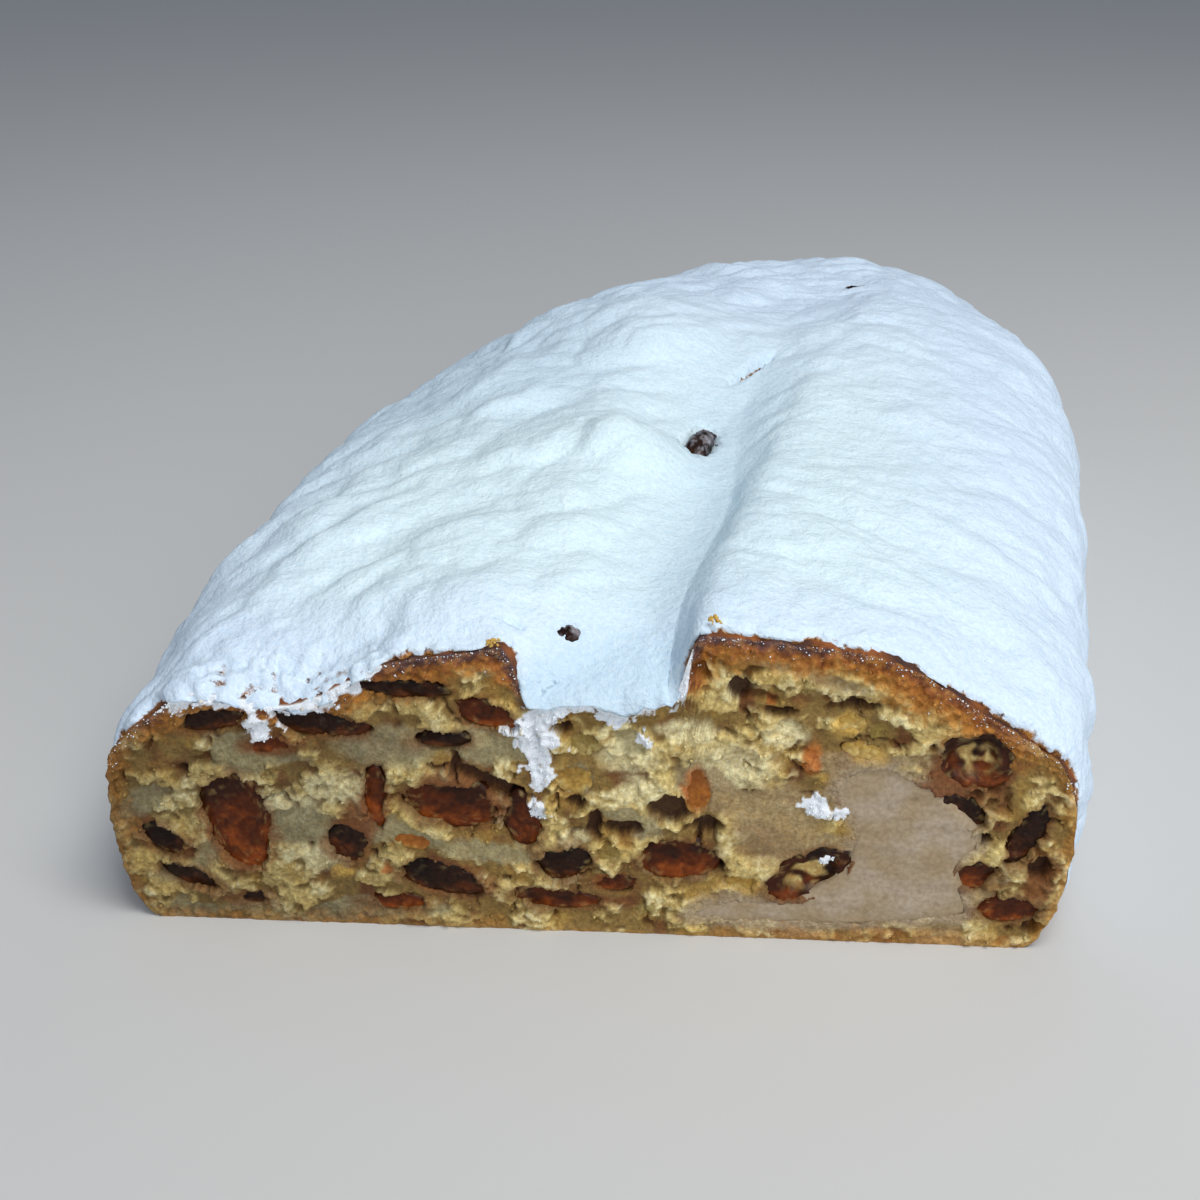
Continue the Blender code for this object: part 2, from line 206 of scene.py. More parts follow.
def planOutline(steps, crowding):
    # stations from the cut round to the far tip, closer together near the cut, and back down the
    # other side: each side swells as a sine and closes as a quarter ellipse
    sideY = np.linspace(0, loaf["fullAt"], 300, endpoint=False)
    swell = np.sin(np.pi / 2 * sideY / loaf["fullAt"])
    turn = np.linspace(0, np.pi / 2, 600)
    y = np.concatenate([sideY, loaf["fullAt"] + (loaf["length"] - loaf["fullAt"]) * np.sin(turn)])
    half = loaf["cutHalf"] + (loaf["fullHalf"] - loaf["cutHalf"]) * swell
    half = np.concatenate([half, loaf["fullHalf"] * np.cos(turn)])
    run = np.concatenate([[0], np.cumsum(np.hypot(np.diff(centreX(y) - half), np.diff(y)))])
    wanted = run[-1] * np.linspace(0, 1, steps + 1) ** crowding
    y, half = np.interp(wanted, run, y), np.interp(wanted, run, half)
    left = np.stack([centreX(y) - half, y], 1)
    right = np.stack([centreX(y) + half, y], 1)[:-1]
    return np.vstack([left, right[::-1]])


def skinPoints(edge, climb):
    # rows of points from the foot (climb -1) past the widest line (0) to the crown line (1): a quarter
    # ellipse draws the foot in, and a superellipse makes the dome between the outline and the crown line
    start = spineLine(edge[:, 1])
    reach = edge - start
    inward = -reach / np.linalg.norm(reach, axis=1, keepdims=True)
    climb = np.broadcast_to(climb, (len(climb), len(edge)))
    low = np.clip(-climb, 0, 1) * np.pi / 2
    up = np.clip(climb, 0, 1) * np.pi / 2
    share = np.cos(up) ** (2 / loaf["power"])
    rising = np.sin(up) ** (2 / loaf["power"])
    plan = start + reach * share[..., None] + inward * (loaf["footInset"] * (1 - np.cos(low)))[..., None]
    height = domeHeight(plan[..., 0], plan[..., 1], rising) - loaf["belly"] * np.sin(low)
    return np.concatenate([plan, height[..., None]], -1)


def evenClimb(low, high, rows):  # climbs, as a column, that lie evenly along the section at the cut
    fine = np.linspace(low, high, 3000)
    section = skinPoints(planOutline(4, 1)[:1], fine[:, None])[:, 0]
    run = np.concatenate([[0], np.cumsum(np.linalg.norm(np.diff(section, axis=0), axis=1))])
    return np.interp(np.linspace(0, run[-1], rows), run, fine)[:, None]


# --- meshes from arrays


def quadsOf(index):  # the quads between the vertices that a table of numbers names
    corners = (index[:-1, :-1], index[:-1, 1:], index[1:, 1:], index[1:, :-1])
    return np.stack(corners, -1).reshape(-1, 4)


def skinIndex(rows, stations):  # numbers of a skin's vertices, where both halves share the crown line
    index = np.arange(rows * stations).reshape(rows, stations)
    middle = stations // 2
    index[-1, middle + 1 :] = index[-1, :middle][::-1]
    return index


def pointNormals(points, faces):  # the faces' normals, gathered at their corners
    total = np.zeros_like(points)
    normal = np.cross(points[faces[:, 2]] - points[faces[:, 0]], points[faces[:, -1]] - points[faces[:, 1]])
    for corner in range(faces.shape[1]):
        np.add.at(total, faces[:, corner], normal)
    return total / np.maximum(np.linalg.norm(total, axis=1, keepdims=True), 1e-12)


def addPiece(name, points, faceSets, finish, slot, nodes=(), **data):
    # a mesh in metres, in the row's frame, that rides on the one body and stands for its nodes; the
    # data are a colour or a number for each point
    used, corners = np.unique(np.concatenate([faces.ravel() for faces in faceSets]), return_inverse=True)
    sizes = np.concatenate([np.full(len(faces), faces.shape[1]) for faces in faceSets])
    mesh = bpy.data.meshes.new(name)
    mesh.vertices.add(len(used))
    mesh.vertices.foreach_set("co", ((points[used] + origin) * 0.001).ravel())
    mesh.loops.add(len(corners))
    mesh.loops.foreach_set("vertex_index", corners)
    mesh.polygons.add(len(sizes))
    mesh.polygons.foreach_set("loop_start", np.cumsum(sizes) - sizes)
    mesh.update(calc_edges=True)
    mesh.validate()
    mesh.shade_smooth()
    for key, kept in data.items():
        kept = np.asarray(kept, float)[used]
        if kept.ndim == 2:
            attribute = mesh.attributes.new(key, "FLOAT_COLOR", "POINT")
            attribute.data.foreach_set("color", np.hstack([kept, np.ones((len(used), 1))]).ravel())
        else:
            attribute = mesh.attributes.new(key, "FLOAT", "POINT")
            attribute.data.foreach_set("value", kept)
    mesh.materials.append(finish.material)
    piece = bpy.data.objects.new(name, mesh)
    bpy.context.scene.collection.objects.link(piece)
    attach(piece, "root")
    if nodes:
        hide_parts(*nodes)


# where the loaf's frame lies in the row's frame, from the dough's box
doughLow = np.array(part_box("dough")[0]) * 1000
skinSample = skinPoints(planOutline(200, 1), np.zeros((1, 1)))
origin = np.array([doughLow[0] - skinSample[..., 0].min(), doughLow[1], doughLow[2]])


# --- materials


class Wire:  # a node's output that can stand in sums
    def __init__(self, shader, socket):
        self.shader = shader
        self.socket = socket

    def sum(self, operation, first, second):
        return self.shader.node("Math", dict(operation=operation), {0: first, 1: second})

    def __add__(self, other):
        return self.sum("ADD", self, other)

    def __radd__(self, other):
        return self.sum("ADD", other, self)

    def __sub__(self, other):
        return self.sum("SUBTRACT", self, other)

    def __rsub__(self, other):
        return self.sum("SUBTRACT", other, self)

    def __mul__(self, other):
        return self.sum("MULTIPLY", self, other)

    def __rmul__(self, other):
        return self.sum("MULTIPLY", other, self)

    def step(self, low, high):  # 0 below low, 1 above high, and smooth between
        settings = dict(interpolation_type="SMOOTHSTEP")
        return self.shader.node("MapRange", settings, {"Value": self, "From Min": low, "From Max": high})


class Shader:  # one material and its nodes
    def __init__(self, name, **finish):
        self.material = bpy.data.materials.new(name)
        self.material.use_nodes = True
        self.tree = self.material.node_tree
        self.finish = self.tree.nodes["Principled BSDF"]
        self.feed(**finish)

    def node(self, kind, settings=None, inputs=None, output=0):
        made = self.tree.nodes.new("ShaderNode" + kind)
        for key, value in (settings or {}).items():
            setattr(made, key, value)
        for key, value in (inputs or {}).items():
            self.plug(made.inputs[key], value)
        return Wire(self, made.outputs[output])

    def plug(self, socket, value):  # a wire is linked, a number or a colour is set
        if isinstance(value, Wire):
            self.tree.links.new(value.socket, socket)
        else:
            socket.default_value = (*value, 1) if np.ndim(value) else value

    def feed(self, **inputs):  # plugs into the Principled shader, with _ for a space
        for key, value in inputs.items():
            self.plug(self.finish.inputs[key.replace("_", " ")], value)

    def noise(self, scale, detail=3, roughness=0.55):
        where = self.node("TexCoord", output="Object")
        inputs = {"Vector": where, "Scale": scale, "Detail": detail, "Roughness": roughness}
        return self.node("TexNoise", None, inputs)

    def kept(self, name, output="Color"):  # a colour, or with Fac a number, kept on the mesh
        return self.node("Attribute", dict(attribute_name=name), output=output)

    def mix(self, share, first, second, way="MIX"):
        settings = dict(data_type="RGBA", blend_type=way)
        return self.node("Mix", settings, {0: share, 6: first, 7: second}, output=2)

    def grained(self, grain, dark, light=(255, 255, 255), name="tone"):
        # the mesh's own colour times a tint that the grain moves from dark to light
        return self.mix(1.0, self.kept(name), self.mix(grain, paint(*dark), paint(*light)), "MULTIPLY")

    def bump(self, height, distance, under=None):
        inputs = {"Height": height, "Distance": distance, "Strength": 1}
        if under:
            inputs["Normal"] = under
        return self.node("Bump", None, inputs)


# --- what the cut shows: x, z, width, height and any tilt of each thing in it

holes = [
    (-20.5, 28, 1.4, 5.5), (-15.5, 25.4, 12.7, 3.0, -25), (-3.4, 22.5, 3.1, 2.2),
    (-0.7, 18.6, 2.3, 4.8), (3.3, 18.3, 5.7, 2.8), (9.9, 21.8, 7, 5.1), (15.1, 19.3, 3.9, 3.1),
    (-5.5, 34.8, 3, 1.9, -30), (13.6, 44.5, 3.2, 2.2), (19, 41.9, 3.8, 4), (24.8, 38.6, 4.6, 1.3, 5),
    (34.4, 39.7, 7.7, 1.6), (53.9, 18.5, 2.2, 3.1), (62.3, 14, 3.3, 4.5), (63.4, 3.2, 5.4, 2.4),
    (-59.5, 26, 2, 2), (-8.6, 30, 1.6, 12, 4),
]
smoothPlaces = [
    (-50.6, 26.9, 6.5, 3.4), (-30, 31, 15.5, 7.3), (-16.7, 31.5, 11.2, 6.6), (19.6, 23.2, 11, 4.4),
    (-3.4, 26.5, 5.3, 5), (25, 20, 14, 15), (-16.5, 13.4, 15, 4.2, -5),
]
stains = [  # and the colour's name
    (0.8, 37.1, 1.9, 1.9, "orange"), (2, 8.9, 6.4, 3.2, "orange"), (13.4, 25.3, 3.9, 8.4, "orange"),
    (23.1, 40.3, 1.6, 1.6, "orange"), (29.3, 31.2, 3, 5.5, "orange"), (33.9, 36.9, 5.4, 3.2, "yellow"),
    (37.3, 31.5, 5.7, 3.2, -10, "yellow"), (21.1, 9.2, 5.4, 3.6, "yellow"),
    (-37.6, 9.1, 3.8, 2.5, "yellow"), (-30.9, 10.2, 2.1, 2.1, "orange"),
    (38.1, 35.7, 2.4, 2.9, "olive"), (7, 4.6, 2.3, 2.3, "olive"),
]
brightPlaces = [
    (18.3, 29.2, 13.2, 9.2), (4, 30.5, 9, 6), (6, 25, 8, 5), (12, 35, 9, 4), (-44, 20, 10, 6),
    (-38, 24, 8, 6), (-40, 13, 9, 8), (25, 35, 8, 4), (-4, 16.5, 5, 3),
]
smears = [  # flesh of fruit that the knife has dragged over the crumb
    (-18.5, 23.5, 17, 11, -18), (-34.5, 18.5, 7, 14, -25), (-46, 30.6, 10, 3.6, 8),
    (-21.5, 8.5, 15, 7, -12), (-52.3, 15.5, 12, 16, 6), (49, 27, 12, 15, -15), (31, 11, 14, 9, 25),
    (62.5, 13, 6, 12, -10),
]
sugarPlaces = [
    (-8.4, 34.5, 8, 8), (-8.9, 28.5, 4.6, 13, 4), (-9.2, 22, 3.6, 4), (-47.4, 34.5, 4.5, 6),
    (30.3, 23.7, 4.6, 4.6), (32.6, 22.2, 4.2, 2.2, -20), (34.2, 23.1, 3.3, 2.7), (32, 14.2, 4, 2, 25),
    (1.5, 36.8, 6, 2.2), (5.6, 34.2, 3, 2.4),
]

# cut fruit: a sixth number is a taper towards the base
darkRaisins = [
    (-54, 34.4, 9.6, 3.4, 12), (-39.4, 34.4, 12.4, 4.2, -8), (-27.3, 40.2, 12.4, 2.6, -3),
    (-21.7, 32.3, 7, 2.6), (-63.6, 13.9, 8, 4.8, -28), (-59.8, 7.1, 9, 3.8, -25), (-51.6, 3.6, 4.8, 2),
    (-36.6, 14, 6.4, 6.6, 0, 0.2), (-23.2, 8.3, 12, 5, -15), (-5.5, 12, 8.4, 6, 0, 0.3),
    (49.4, 23.4, 8.6, 4.4, -20), (60.2, 19.5, 3.8, 10.2, -20), (51.6, 31.6, 11.4, 8.6, -8),
]
amberRaisins = [
    (-52.3, 17, 10.4, 15.4, 6, 0.35), (-46.6, 30.6, 6.4, 2.6, 8), (-15.5, 36.6, 8.6, 4, -15),
    (-21.2, 21.6, 12.6, 7.2, -8), (-11.2, 19.2, 4.8, 8.4, 12), (-32, 22.5, 3, 9.6),
    (-29.6, 3.8, 8.4, 2.4), (-6.6, 5.6, 12, 3.4, -5), (11.2, 13.2, 10.4, 6.6, 4), (2, 8.7, 6, 2.6),
    (53.4, 12.3, 7, 4.4, 5), (59.3, 6.7, 8.6, 4.6, 8), (30.2, 11.2, 13, 7.8, 28),
]
peel = [
    (-1.9, 32.4, 5, 4.2), (-3.4, 26.4, 5.2, 4.4), (-26.8, 14.8, 5.6, 2.8), (1.3, 13.6, 4, 3.8),
    (13.6, 25, 3.4, 6.8), (20.7, 9.4, 4.8, 3.2), (36.2, 32.6, 5.6, 2.6, -10), (33.6, 37, 5.2, 2.6),
]
topRaisins = [  # x, y, length, width, height, turn
    (13.0, 78.5, 6.0, 16, 8.5, -14), (-5.6, 9, 7, 5, 5, 20), (49.5, 181, 6, 5, 5, 0),
]
bareness = [0.95, 0.2, 0.45]  # how much of each the sugar leaves bare
cracks = [(-12.8, 6.5, 2.4, 1.3, 10), (23.5, 113, 16, 2.2, 57)]

marzipan = dict(
    section=[
        (13.5, 3.9), (18.5, 6.3), (26.5, 6), (32.5, 9), (36, 14), (36, 20.5), (33, 26.5), (38.5, 30),
        (45.5, 26.3), (52.8, 19), (50.2, 13.2), (52.2, 6.2), (45, 4.4), (35, 3.4), (20, 2.9),
    ],
    core=(39, 13),
    stations=[  # y and the share of the front's size
        (3.5, 1), (30, 1), (60, 1), (90, 1), (120, 1), (145, 0.97), (165, 0.92), (182, 0.75), (189, 0.5),
    ],
    tip=192,
    spacing=0.36,
    sunk=0.2,
    under=0.8,
)


def closedCurve(corners, steps):  # a closed Catmull-Rom curve through the corners
    corners = np.array(corners, float)
    before, after, beyond = (np.roll(corners, shift, 0) for shift in (1, -1, -2))
    t = np.linspace(0, 1, steps, endpoint=False)[:, None, None]
    points = 2 * corners + (after - before) * t
    points = points + (2 * before - 5 * corners + 4 * after - beyond) * t**2
    points = points + (3 * corners - before - 3 * after + beyond) * t**3
    return 0.5 * points.transpose(1, 0, 2).reshape(-1, 2)


def gapTo(x, z, curve, batch=4000):
    # distance to a closed curve, below zero within it, and the nearest point on it: each place is
    # measured against each straight piece, and is within when a ray from it crosses an odd number
    places = np.stack([x, z], -1).reshape(-1, 2)
    start, along = curve, np.roll(curve, -1, 0) - curve
    length = np.maximum((along**2).sum(1), 1e-9)
    slant = along[:, 0] / np.where(along[:, 1] == 0, 1, along[:, 1])
    gap, nearest = np.empty(len(places)), np.empty((len(places), 2))
    for part in range(0, len(places), batch):
        here = places[part : part + batch, None]
        t = np.clip(((here - start) * along).sum(-1) / length, 0, 1)
        foot = start + along * t[..., None]
        away = np.linalg.norm(here - foot, axis=-1)
        least = away.argmin(1)
        row = np.arange(len(least))
        hereX, hereZ = here[..., 0], here[..., 1]
        across = (start[:, 1] > hereZ) != (start[:, 1] + along[:, 1] > hereZ)
        within = (across & (hereX < start[:, 0] + slant * (hereZ - start[:, 1]))).sum(1) % 2 == 1
        gap[part : part + batch] = np.where(within, -1, 1) * away[row, least]
        nearest[part : part + batch] = foot[row, least]
    return gap.reshape(np.shape(x)), nearest.reshape(*np.shape(x), 2)


def roundCut(skin):  # what a skin holds round the cut: up its left edge and down its right one
    return np.concatenate([skin[:, 0], skin[-2::-1, -1]])


marzipanCurve = closedCurve(marzipan["section"], 7)
cutSection = roundCut(skinPoints(planOutline(4, 1)[[0, -1]], evenClimb(-1, 1, 110)))[:, [0, 2]]


def allOf(masks):  # the strongest of several masks
    return np.max(list(masks), axis=0)


def rimWobble(a, seed):  # how uneven a fruit's rim is, by the direction from its middle
    ring = np.stack([np.cos(a), np.sin(a), 0 * a + seed], -1)
    return 1 + 0.1 * ripple(ring, 0.9, 3) + 0.06 * ripple(ring, 0.4, 4)


def fruitGap(oval, x, z):  # about how far outside a fruit's uneven rim a place is, in millimetres
    a = np.arctan2(z - oval[1], x - oval[0])
    reach = inOval(x, z, oval) / rimWobble(a, oval[0])
    return (reach - 1) * (0.35 * min(oval[2:4]) + 0.15 * max(oval[2:4]))


def frayed(points, size, reach, seed):  # places pushed about in the cut's plane by a ragged amount
    side, up = rough(points, size, 3, seed, 0.6), rough(points, size, 3, seed + 7, 0.6)
    return points + reach * np.stack([side, 0 * side, up], -1)


crumb = dict(
    lump=5.4, stepUp=0.8, grain=0.22, crackDepth=1.3, pitDepth=1.2, holeDepth=2.7, fruitDepth=3.4,
    peelDepth=1.0, marzipanDepth=2.8, crust=3.9,
)


def toward(depth, level, share):  # moves a depth part of the way to a level
    return depth + share * (level - depth)


def readCut(x, z):
    # the cut's relief as a depth into the loaf, and the masks that its colours follow: lumps of
    # grainy crumb that stand over a smoother ground, then cracks, holes, fruit and marzipan
    spot = np.stack([x, 0 * x, z], -1)
    torn = frayed(spot, 1.9, 0.55, 20)
    bent = torn[..., 0], torn[..., 2]
    rim = np.minimum(-gapTo(x, z, cutSection)[0], 40)

    # the crust's width: thick on the lobes, none in the valley, thin down the right side
    crust = crumb["crust"] * (1 + 0.35 * ripple(spot, 9, 24)) * (1 - 0.3 * fall(-60, -46, x))
    crust = crust * (1 - 0.96 * between(-12, -9.5, 10.5, 13, x))
    crust = crust * (1 - 0.6 * rise(56, 63, x)) * (0.45 + 0.55 * rise(4, 24, z))
    crust = crust * (1 - 0.96 * fall(38, 44, z) * between(-15, -13, 14, 18, x))
    band = (rim + 0.6 * rough(spot, 1.8, 3, 34)) / np.maximum(crust, 0.1)
    inCrust = fall(0.8, 1.15, band)

    field = rough(torn * (0.75, 1, 1.1), crumb["lump"], 3, 1, 0.6)
    lump = rise(-0.12, 0.2, field)
    plain = allOf(fall(0.7, 1.15, inOval(*bent, place)) for place in smoothPlaces)
    plain = np.maximum(plain, rise(0.3, 0.42, ripple(torn * (0.6, 1, 1), 7, 26)))
    grain = rough(spot, 1.25, 3, 2, 0.65)
    crack = fall(0.0, 0.1, np.abs(ripple(torn, 5.8, 3)))
    crack = crack * rise(0.1, 0.35, ripple(spot, 8, 4)) * (1 - plain)
    near, who = pores(torn, 2.6, 5)
    pit = fall(0.12, 0.36, near) * (who < 0.22) * (1 - plain)
    depth = 0.55 - crumb["stepUp"] * lump * (1 - plain) - 0.35 * rough(spot, 3.4, 2, 6)
    depth = depth - crumb["grain"] * grain * (0.45 + 0.75 * lump) * (1 - 0.75 * plain)
    depth = depth + crumb["crackDepth"] * crack + crumb["pitDepth"] * pit
    depth = depth - inCrust * (0.4 * depth + 0.1 + 0.42 * rough(spot, 1.3, 4, 44, 0.6))

    hollow = allOf(fall(0.6, 1.15, inOval(*bent, place)) for place in holes)
    depth = toward(depth, crumb["holeDepth"], hollow)
    inMarzipan = gapTo(x, z, marzipanCurve)[0] + 0.7 * rough(spot, 3.6, 4, 27, 0.6)
    depth = toward(depth, 0.1 + 0.15 * grain, 0.85 * fall(0.8, 3, inMarzipan) * (1 - hollow))
    depth = toward(depth, crumb["marzipanDepth"], fall(-0.7, -0.1, inMarzipan))
    ragged = 1.05 * ripple(spot, 4.6, 28) + 0.7 * rough(spot, 1.9, 3, 29)
    rind = np.min([fruitGap(oval, x, z) for oval in peel], axis=0)
    depth = toward(depth, crumb["peelDepth"], fall(-0.6, -0.05, rind + ragged))
    fruit = np.min([fruitGap(oval, x, z) for oval in darkRaisins + amberRaisins], axis=0)
    depth = toward(depth, crumb["fruitDepth"], fall(-0.45, 0.1, fruit + ragged))

    # sugar that has spilt from the top over the rim, and lies in patches
    spill = 0.25 + 3.4 * between(-64, -56, -34, -28, x) + 2.3 * between(-11, -9, 11, 13, x)
    clotted = 1 + 0.8 * rough(spot, 2.6, 3, 38)
    dust = fall(0.15, 1.0, rim / np.maximum(spill * clotted, 0.05))
    dust = dust * rise(14, 20, z) * rise(0.5, 1.2, spill)
    clot = np.maximum(clotted, 0.3)
    strewn = allOf(fall(0.45, 1.15, inOval(*bent, place) / clot) for place in sugarPlaces)
    shown = rise(0, 0.3, dust + strewn)
    dust = np.clip(np.maximum(dust, strewn) + 0.42 * rough(spot, 0.9, 3, 39), 0, 1) * shown
    depth = toward(depth, np.minimum(depth, 0.8) - 0.45 - 0.08 * grain, dust)
    depth = np.clip(depth, -0.9, 4) * (0.2 + 0.8 * rise(0, 1.2, np.minimum(rim, z)))
    return depth, dict(
        spot=spot, rim=rim, band=band, plain=plain, fruit=fruit, inMarzipan=inMarzipan,
        lump=lump, grain=grain, bent=bent, torn=torn, dust=dust, x=x, z=z,
    )


tones = dict(
    bright=(255, 246, 196), cream=(244, 222, 148), ground=(150, 122, 64), brown=(122, 76, 32),
    pit=(70, 40, 20), flesh=(130, 76, 32), plain=(170, 162, 126), beige=(172, 148, 110),
    yellow=(236, 194, 96), orange=(206, 116, 40), olive=(160, 140, 66), crustInside=(206, 144, 58),
    crust=(170, 96, 33), crustDark=(70, 34, 16), veil=(104, 92, 112), base=(160, 124, 76),
    sugar=(250, 253, 255), marzipan=(178, 162, 141), marzipanWarm=(167, 147, 116),
    marzipanDentShade=(138, 114, 83), frosted=(176, 180, 194), warmWhite=(255, 255, 251),
    shadeBlueWhite=(250, 248, 255), shadedWhite=(232, 236, 242),
)
tones = {name: paint(*tone) for name, tone in tones.items()}  # from here on as linear light


def layered(colour, *layers):  # a colour with tones laid over it in turn, each by its share
    for tone, share in layers:
        colour = blend(colour, tones[tone], share)
    return colour


def cutColours(depth, seen):
    # the ground, the lumps on it by their grain, then smooth places, stains, painted shade in deep places,
    # and crust
    names = ("spot", "x", "z", "rim", "band", "grain", "lump", "bent")
    spot, x, z, rim, band, grain, lump, bent = (seen[name] for name in names)
    whiter = rise(0.0, 0.7, 0.5 * grain + 0.7 * ripple(spot, 5, 36))
    golden = rise(0.15, 0.6, ripple(seen["torn"], 5, 31))
    pale = allOf(fall(0.6, 1.2, inOval(*bent, place)) for place in brightPlaces)
    colour = layered(
        tones["ground"],
        ("brown", rise(0.0, 0.6, ripple(spot, 3.6, 30))),
        # the cream and bright layers go on more where the grain stands proud: painted light on the raised
        # crumb, over its own cream and random whiter patches
        ("cream", lump * (0.72 + 0.4 * grain)),
        ("bright", 0.9 * whiter * lump),
        ("yellow", 0.36 * golden),
        ("bright", pale * (0.8 + 0.4 * grain)),
    )
    smooth = blend(tones["plain"], tones["beige"], rise(5, 18, x))
    colour = blend(colour, smooth, 0.8 * seen["plain"])
    for *place, name in stains:
        colour = layered(colour, (name, 0.85 * fall(0.6, 1.2, inOval(*bent, place))))
    # painted shade: the face is darker towards its left, where less light falls, and the whole face gets a
    # slight blue cast
    colour = colour * (0.67 + 0.33 * rise(-45, -12, x))[..., None] * (1, 1.02, 1.06)
    beside = fall(0.2, 2.8, seen["inMarzipan"] + 0.25 * grain)
    halo = fall(-0.2, 2.0, seen["fruit"] + 0.9 * ripple(spot, 2.8, 32))
    colour = layered(colour, ("marzipan", 0.8 * beside), ("brown", 0.75 * halo))
    for place in smears:
        smeared = fall(0.5, 1.15, inOval(*bent, place) + 0.15 * grain)
        colour = layered(colour, ("flesh", 0.85 * smeared))
    # darker with depth, to near black in the holes: painted shade in the recesses, along with the dark
    # fruit skin that the deepest holes show
    colour = layered(colour, ("brown", 0.65 * rise(0.6, 1.3, depth)), ("pit", 0.9 * rise(1.2, 2.4, depth)))

    # the crust, from gold within to dark brown at the rim, and paler at both ends and at the foot
    uneven = 0.16 * grain + 0.3 * ripple(spot, 4.5, 41) + 0.22 * rough(spot, 1.3, 2, 43)
    band = band + uneven * rise(-0.2, 1.2, rim)
    pale = np.maximum(rise(52, 62, x), fall(20, 38, z))
    pale = np.maximum(pale, 0.8 * fall(-67, -58, x))
    dark = 1 - 0.6 * fall(-32, -20, x) - 0.5 * rise(30, 45, x)
    gold = 0.85 + 0.15 * rise(22, 34, x) - 0.6 * pale
    colour = layered(
        colour,
        ("crustInside", gold * fall(0.5, 1.7, band)),
        ("crust", (0.95 - 0.85 * pale) * fall(0.2, 1.1, band)),
        ("crustDark", dark * (0.9 - 0.9 * pale) * fall(0.0, 0.5, band)),
    )
    # painted shade: the crust is darker on the left, as the face is
    colour = colour * (1 - 0.3 * fall(-30, -12, x) * fall(0.8, 1.9, band))[..., None]
    baked = fall(0.9, 1.6, band) * rise(0.05, 0.45, rough(spot, 1.1, 3, 45, 0.65))
    veil = fall(0.2, 1.9, rim + 0.5 * grain) * rise(30, 36, z)
    low = fall(0.1, 1.0, z + 0.5 * ripple(spot, 3, 35))
    colour = layered(
        colour,
        ("crustInside", (0.6 - 0.4 * pale) * baked),
        ("veil", (0.36 - 0.26 * rise(24, 36, x)) * veil),
        ("base", 0.3 * low),
    )
    colour = colour * (1 + 0.26 * rough(spot, 0.8, 2, 37))[..., None]
    return layered(colour, ("sugar", rise(0.35, 0.75, seen["dust"])))


# --- the dough: the cut face, the crust over it and the base, as one closed skin

dough = dict(sideRows=148, cornerClimb=0.24, topRows=258, steps=26, crowding=1.9, fading=36)


def parts(line, side):  # the left side, the top and the right side of a line round the cut
    return line[: side + 1], line[side : len(line) - side], line[::-1][: side + 1]


def makeDough():
    side, corner, fading = dough["sideRows"], dough["cornerClimb"], dough["fading"]
    climb = np.vstack([evenClimb(-1, corner, side + 1), evenClimb(corner, 1, dough["topRows"] + 1)[1:]])
    skin = skinPoints(planOutline(dough["steps"], dough["crowding"]), climb)
    rows, stations = skin.shape[:2]
    index = skinIndex(rows, stations)
    flat = skin.reshape(-1, 3)
    x, y, z = flat.T
    uneven = (0.4 * rough(flat, 2.4, 3, 42) - 0.1) * np.exp(-y / 4) * rise(1, 4, z)
    uneven = uneven * (1 - 0.8 * between(-14, -12, 14, 16, x))
    uneven[index[-1]] = uneven[index[-1]][0]
    smooth = roundCut(skin)[:, [0, 2]]
    normal = pointNormals(flat, quadsOf(index[:, ::-1]))
    skin = (flat + normal * uneven[:, None]).reshape(skin.shape)
    ends = [0, -1]
    endDepth, endSeen = readCut(skin[:, ends, 0], skin[:, ends, 2])
    skin[:, ends, 1] = endDepth

    # a patch that fills the section: its sides blended across, and its base and top blended up, with
    # the rim's unevenness fading inward
    loop = roundCut(skin)[:, [0, 2]]
    left, top, right = parts(smooth, side)
    u = np.linspace(0, 1, len(top))[None, :, None]
    v = np.linspace(0, 1, side + 1)[:, None, None]
    base = left[0] + (right[0] - left[0]) * u[0]
    corners = (1 - v) * base[None] + v * ((1 - u) * top[0] + u * top[-1])
    patch = (1 - v) * base[None] + v * top[None] + (1 - u) * left[:, None] + u * right[:, None] - corners
    left, top, right = parts(loop - smooth, side)
    patch = patch + top[None] * np.exp((v - 1) * fading)
    patch = patch + left[:, None] * np.exp(-u * 3 * fading) + right[:, None] * np.exp((u - 1) * 3 * fading)
    depth, seen = readCut(patch[..., 0], patch[..., 1])
    face = np.stack([patch[..., 0], depth, patch[..., 1]], -1)
    faceIndex = rows * stations + np.arange(depth.size).reshape(depth.shape)
    faceIndex[:, 0], faceIndex[-1], faceIndex[:, -1] = parts(roundCut(index), side)
    sole = np.concatenate([index[0], faceIndex[0, ::-1][1:-1]])[None]

    # the crust's browns over the skin, in random patches, and paler at the foot
    browned = rise(0.0, 0.8, 0.5 + 0.6 * rough(skin, 7, 4, 40))
    shade = layered(tones["crust"], ("crustDark", browned), ("base", 0.7 * fall(0, 3, skin[..., 2])))
    shade[:, ends] = cutColours(endDepth, endSeen)
    dust = np.zeros((rows, stations))
    dust[:, ends] = endSeen["dust"]
    points = np.concatenate([skin.reshape(-1, 3), face.reshape(-1, 3)])
    tone = np.concatenate([shade.reshape(-1, 3), cutColours(depth, seen).reshape(-1, 3)])
    dust = np.concatenate([dust.ravel(), seen["dust"].ravel()])
    return points, [quadsOf(index[:, ::-1]), quadsOf(faceIndex), sole], dict(tone=tone, dust=dust)


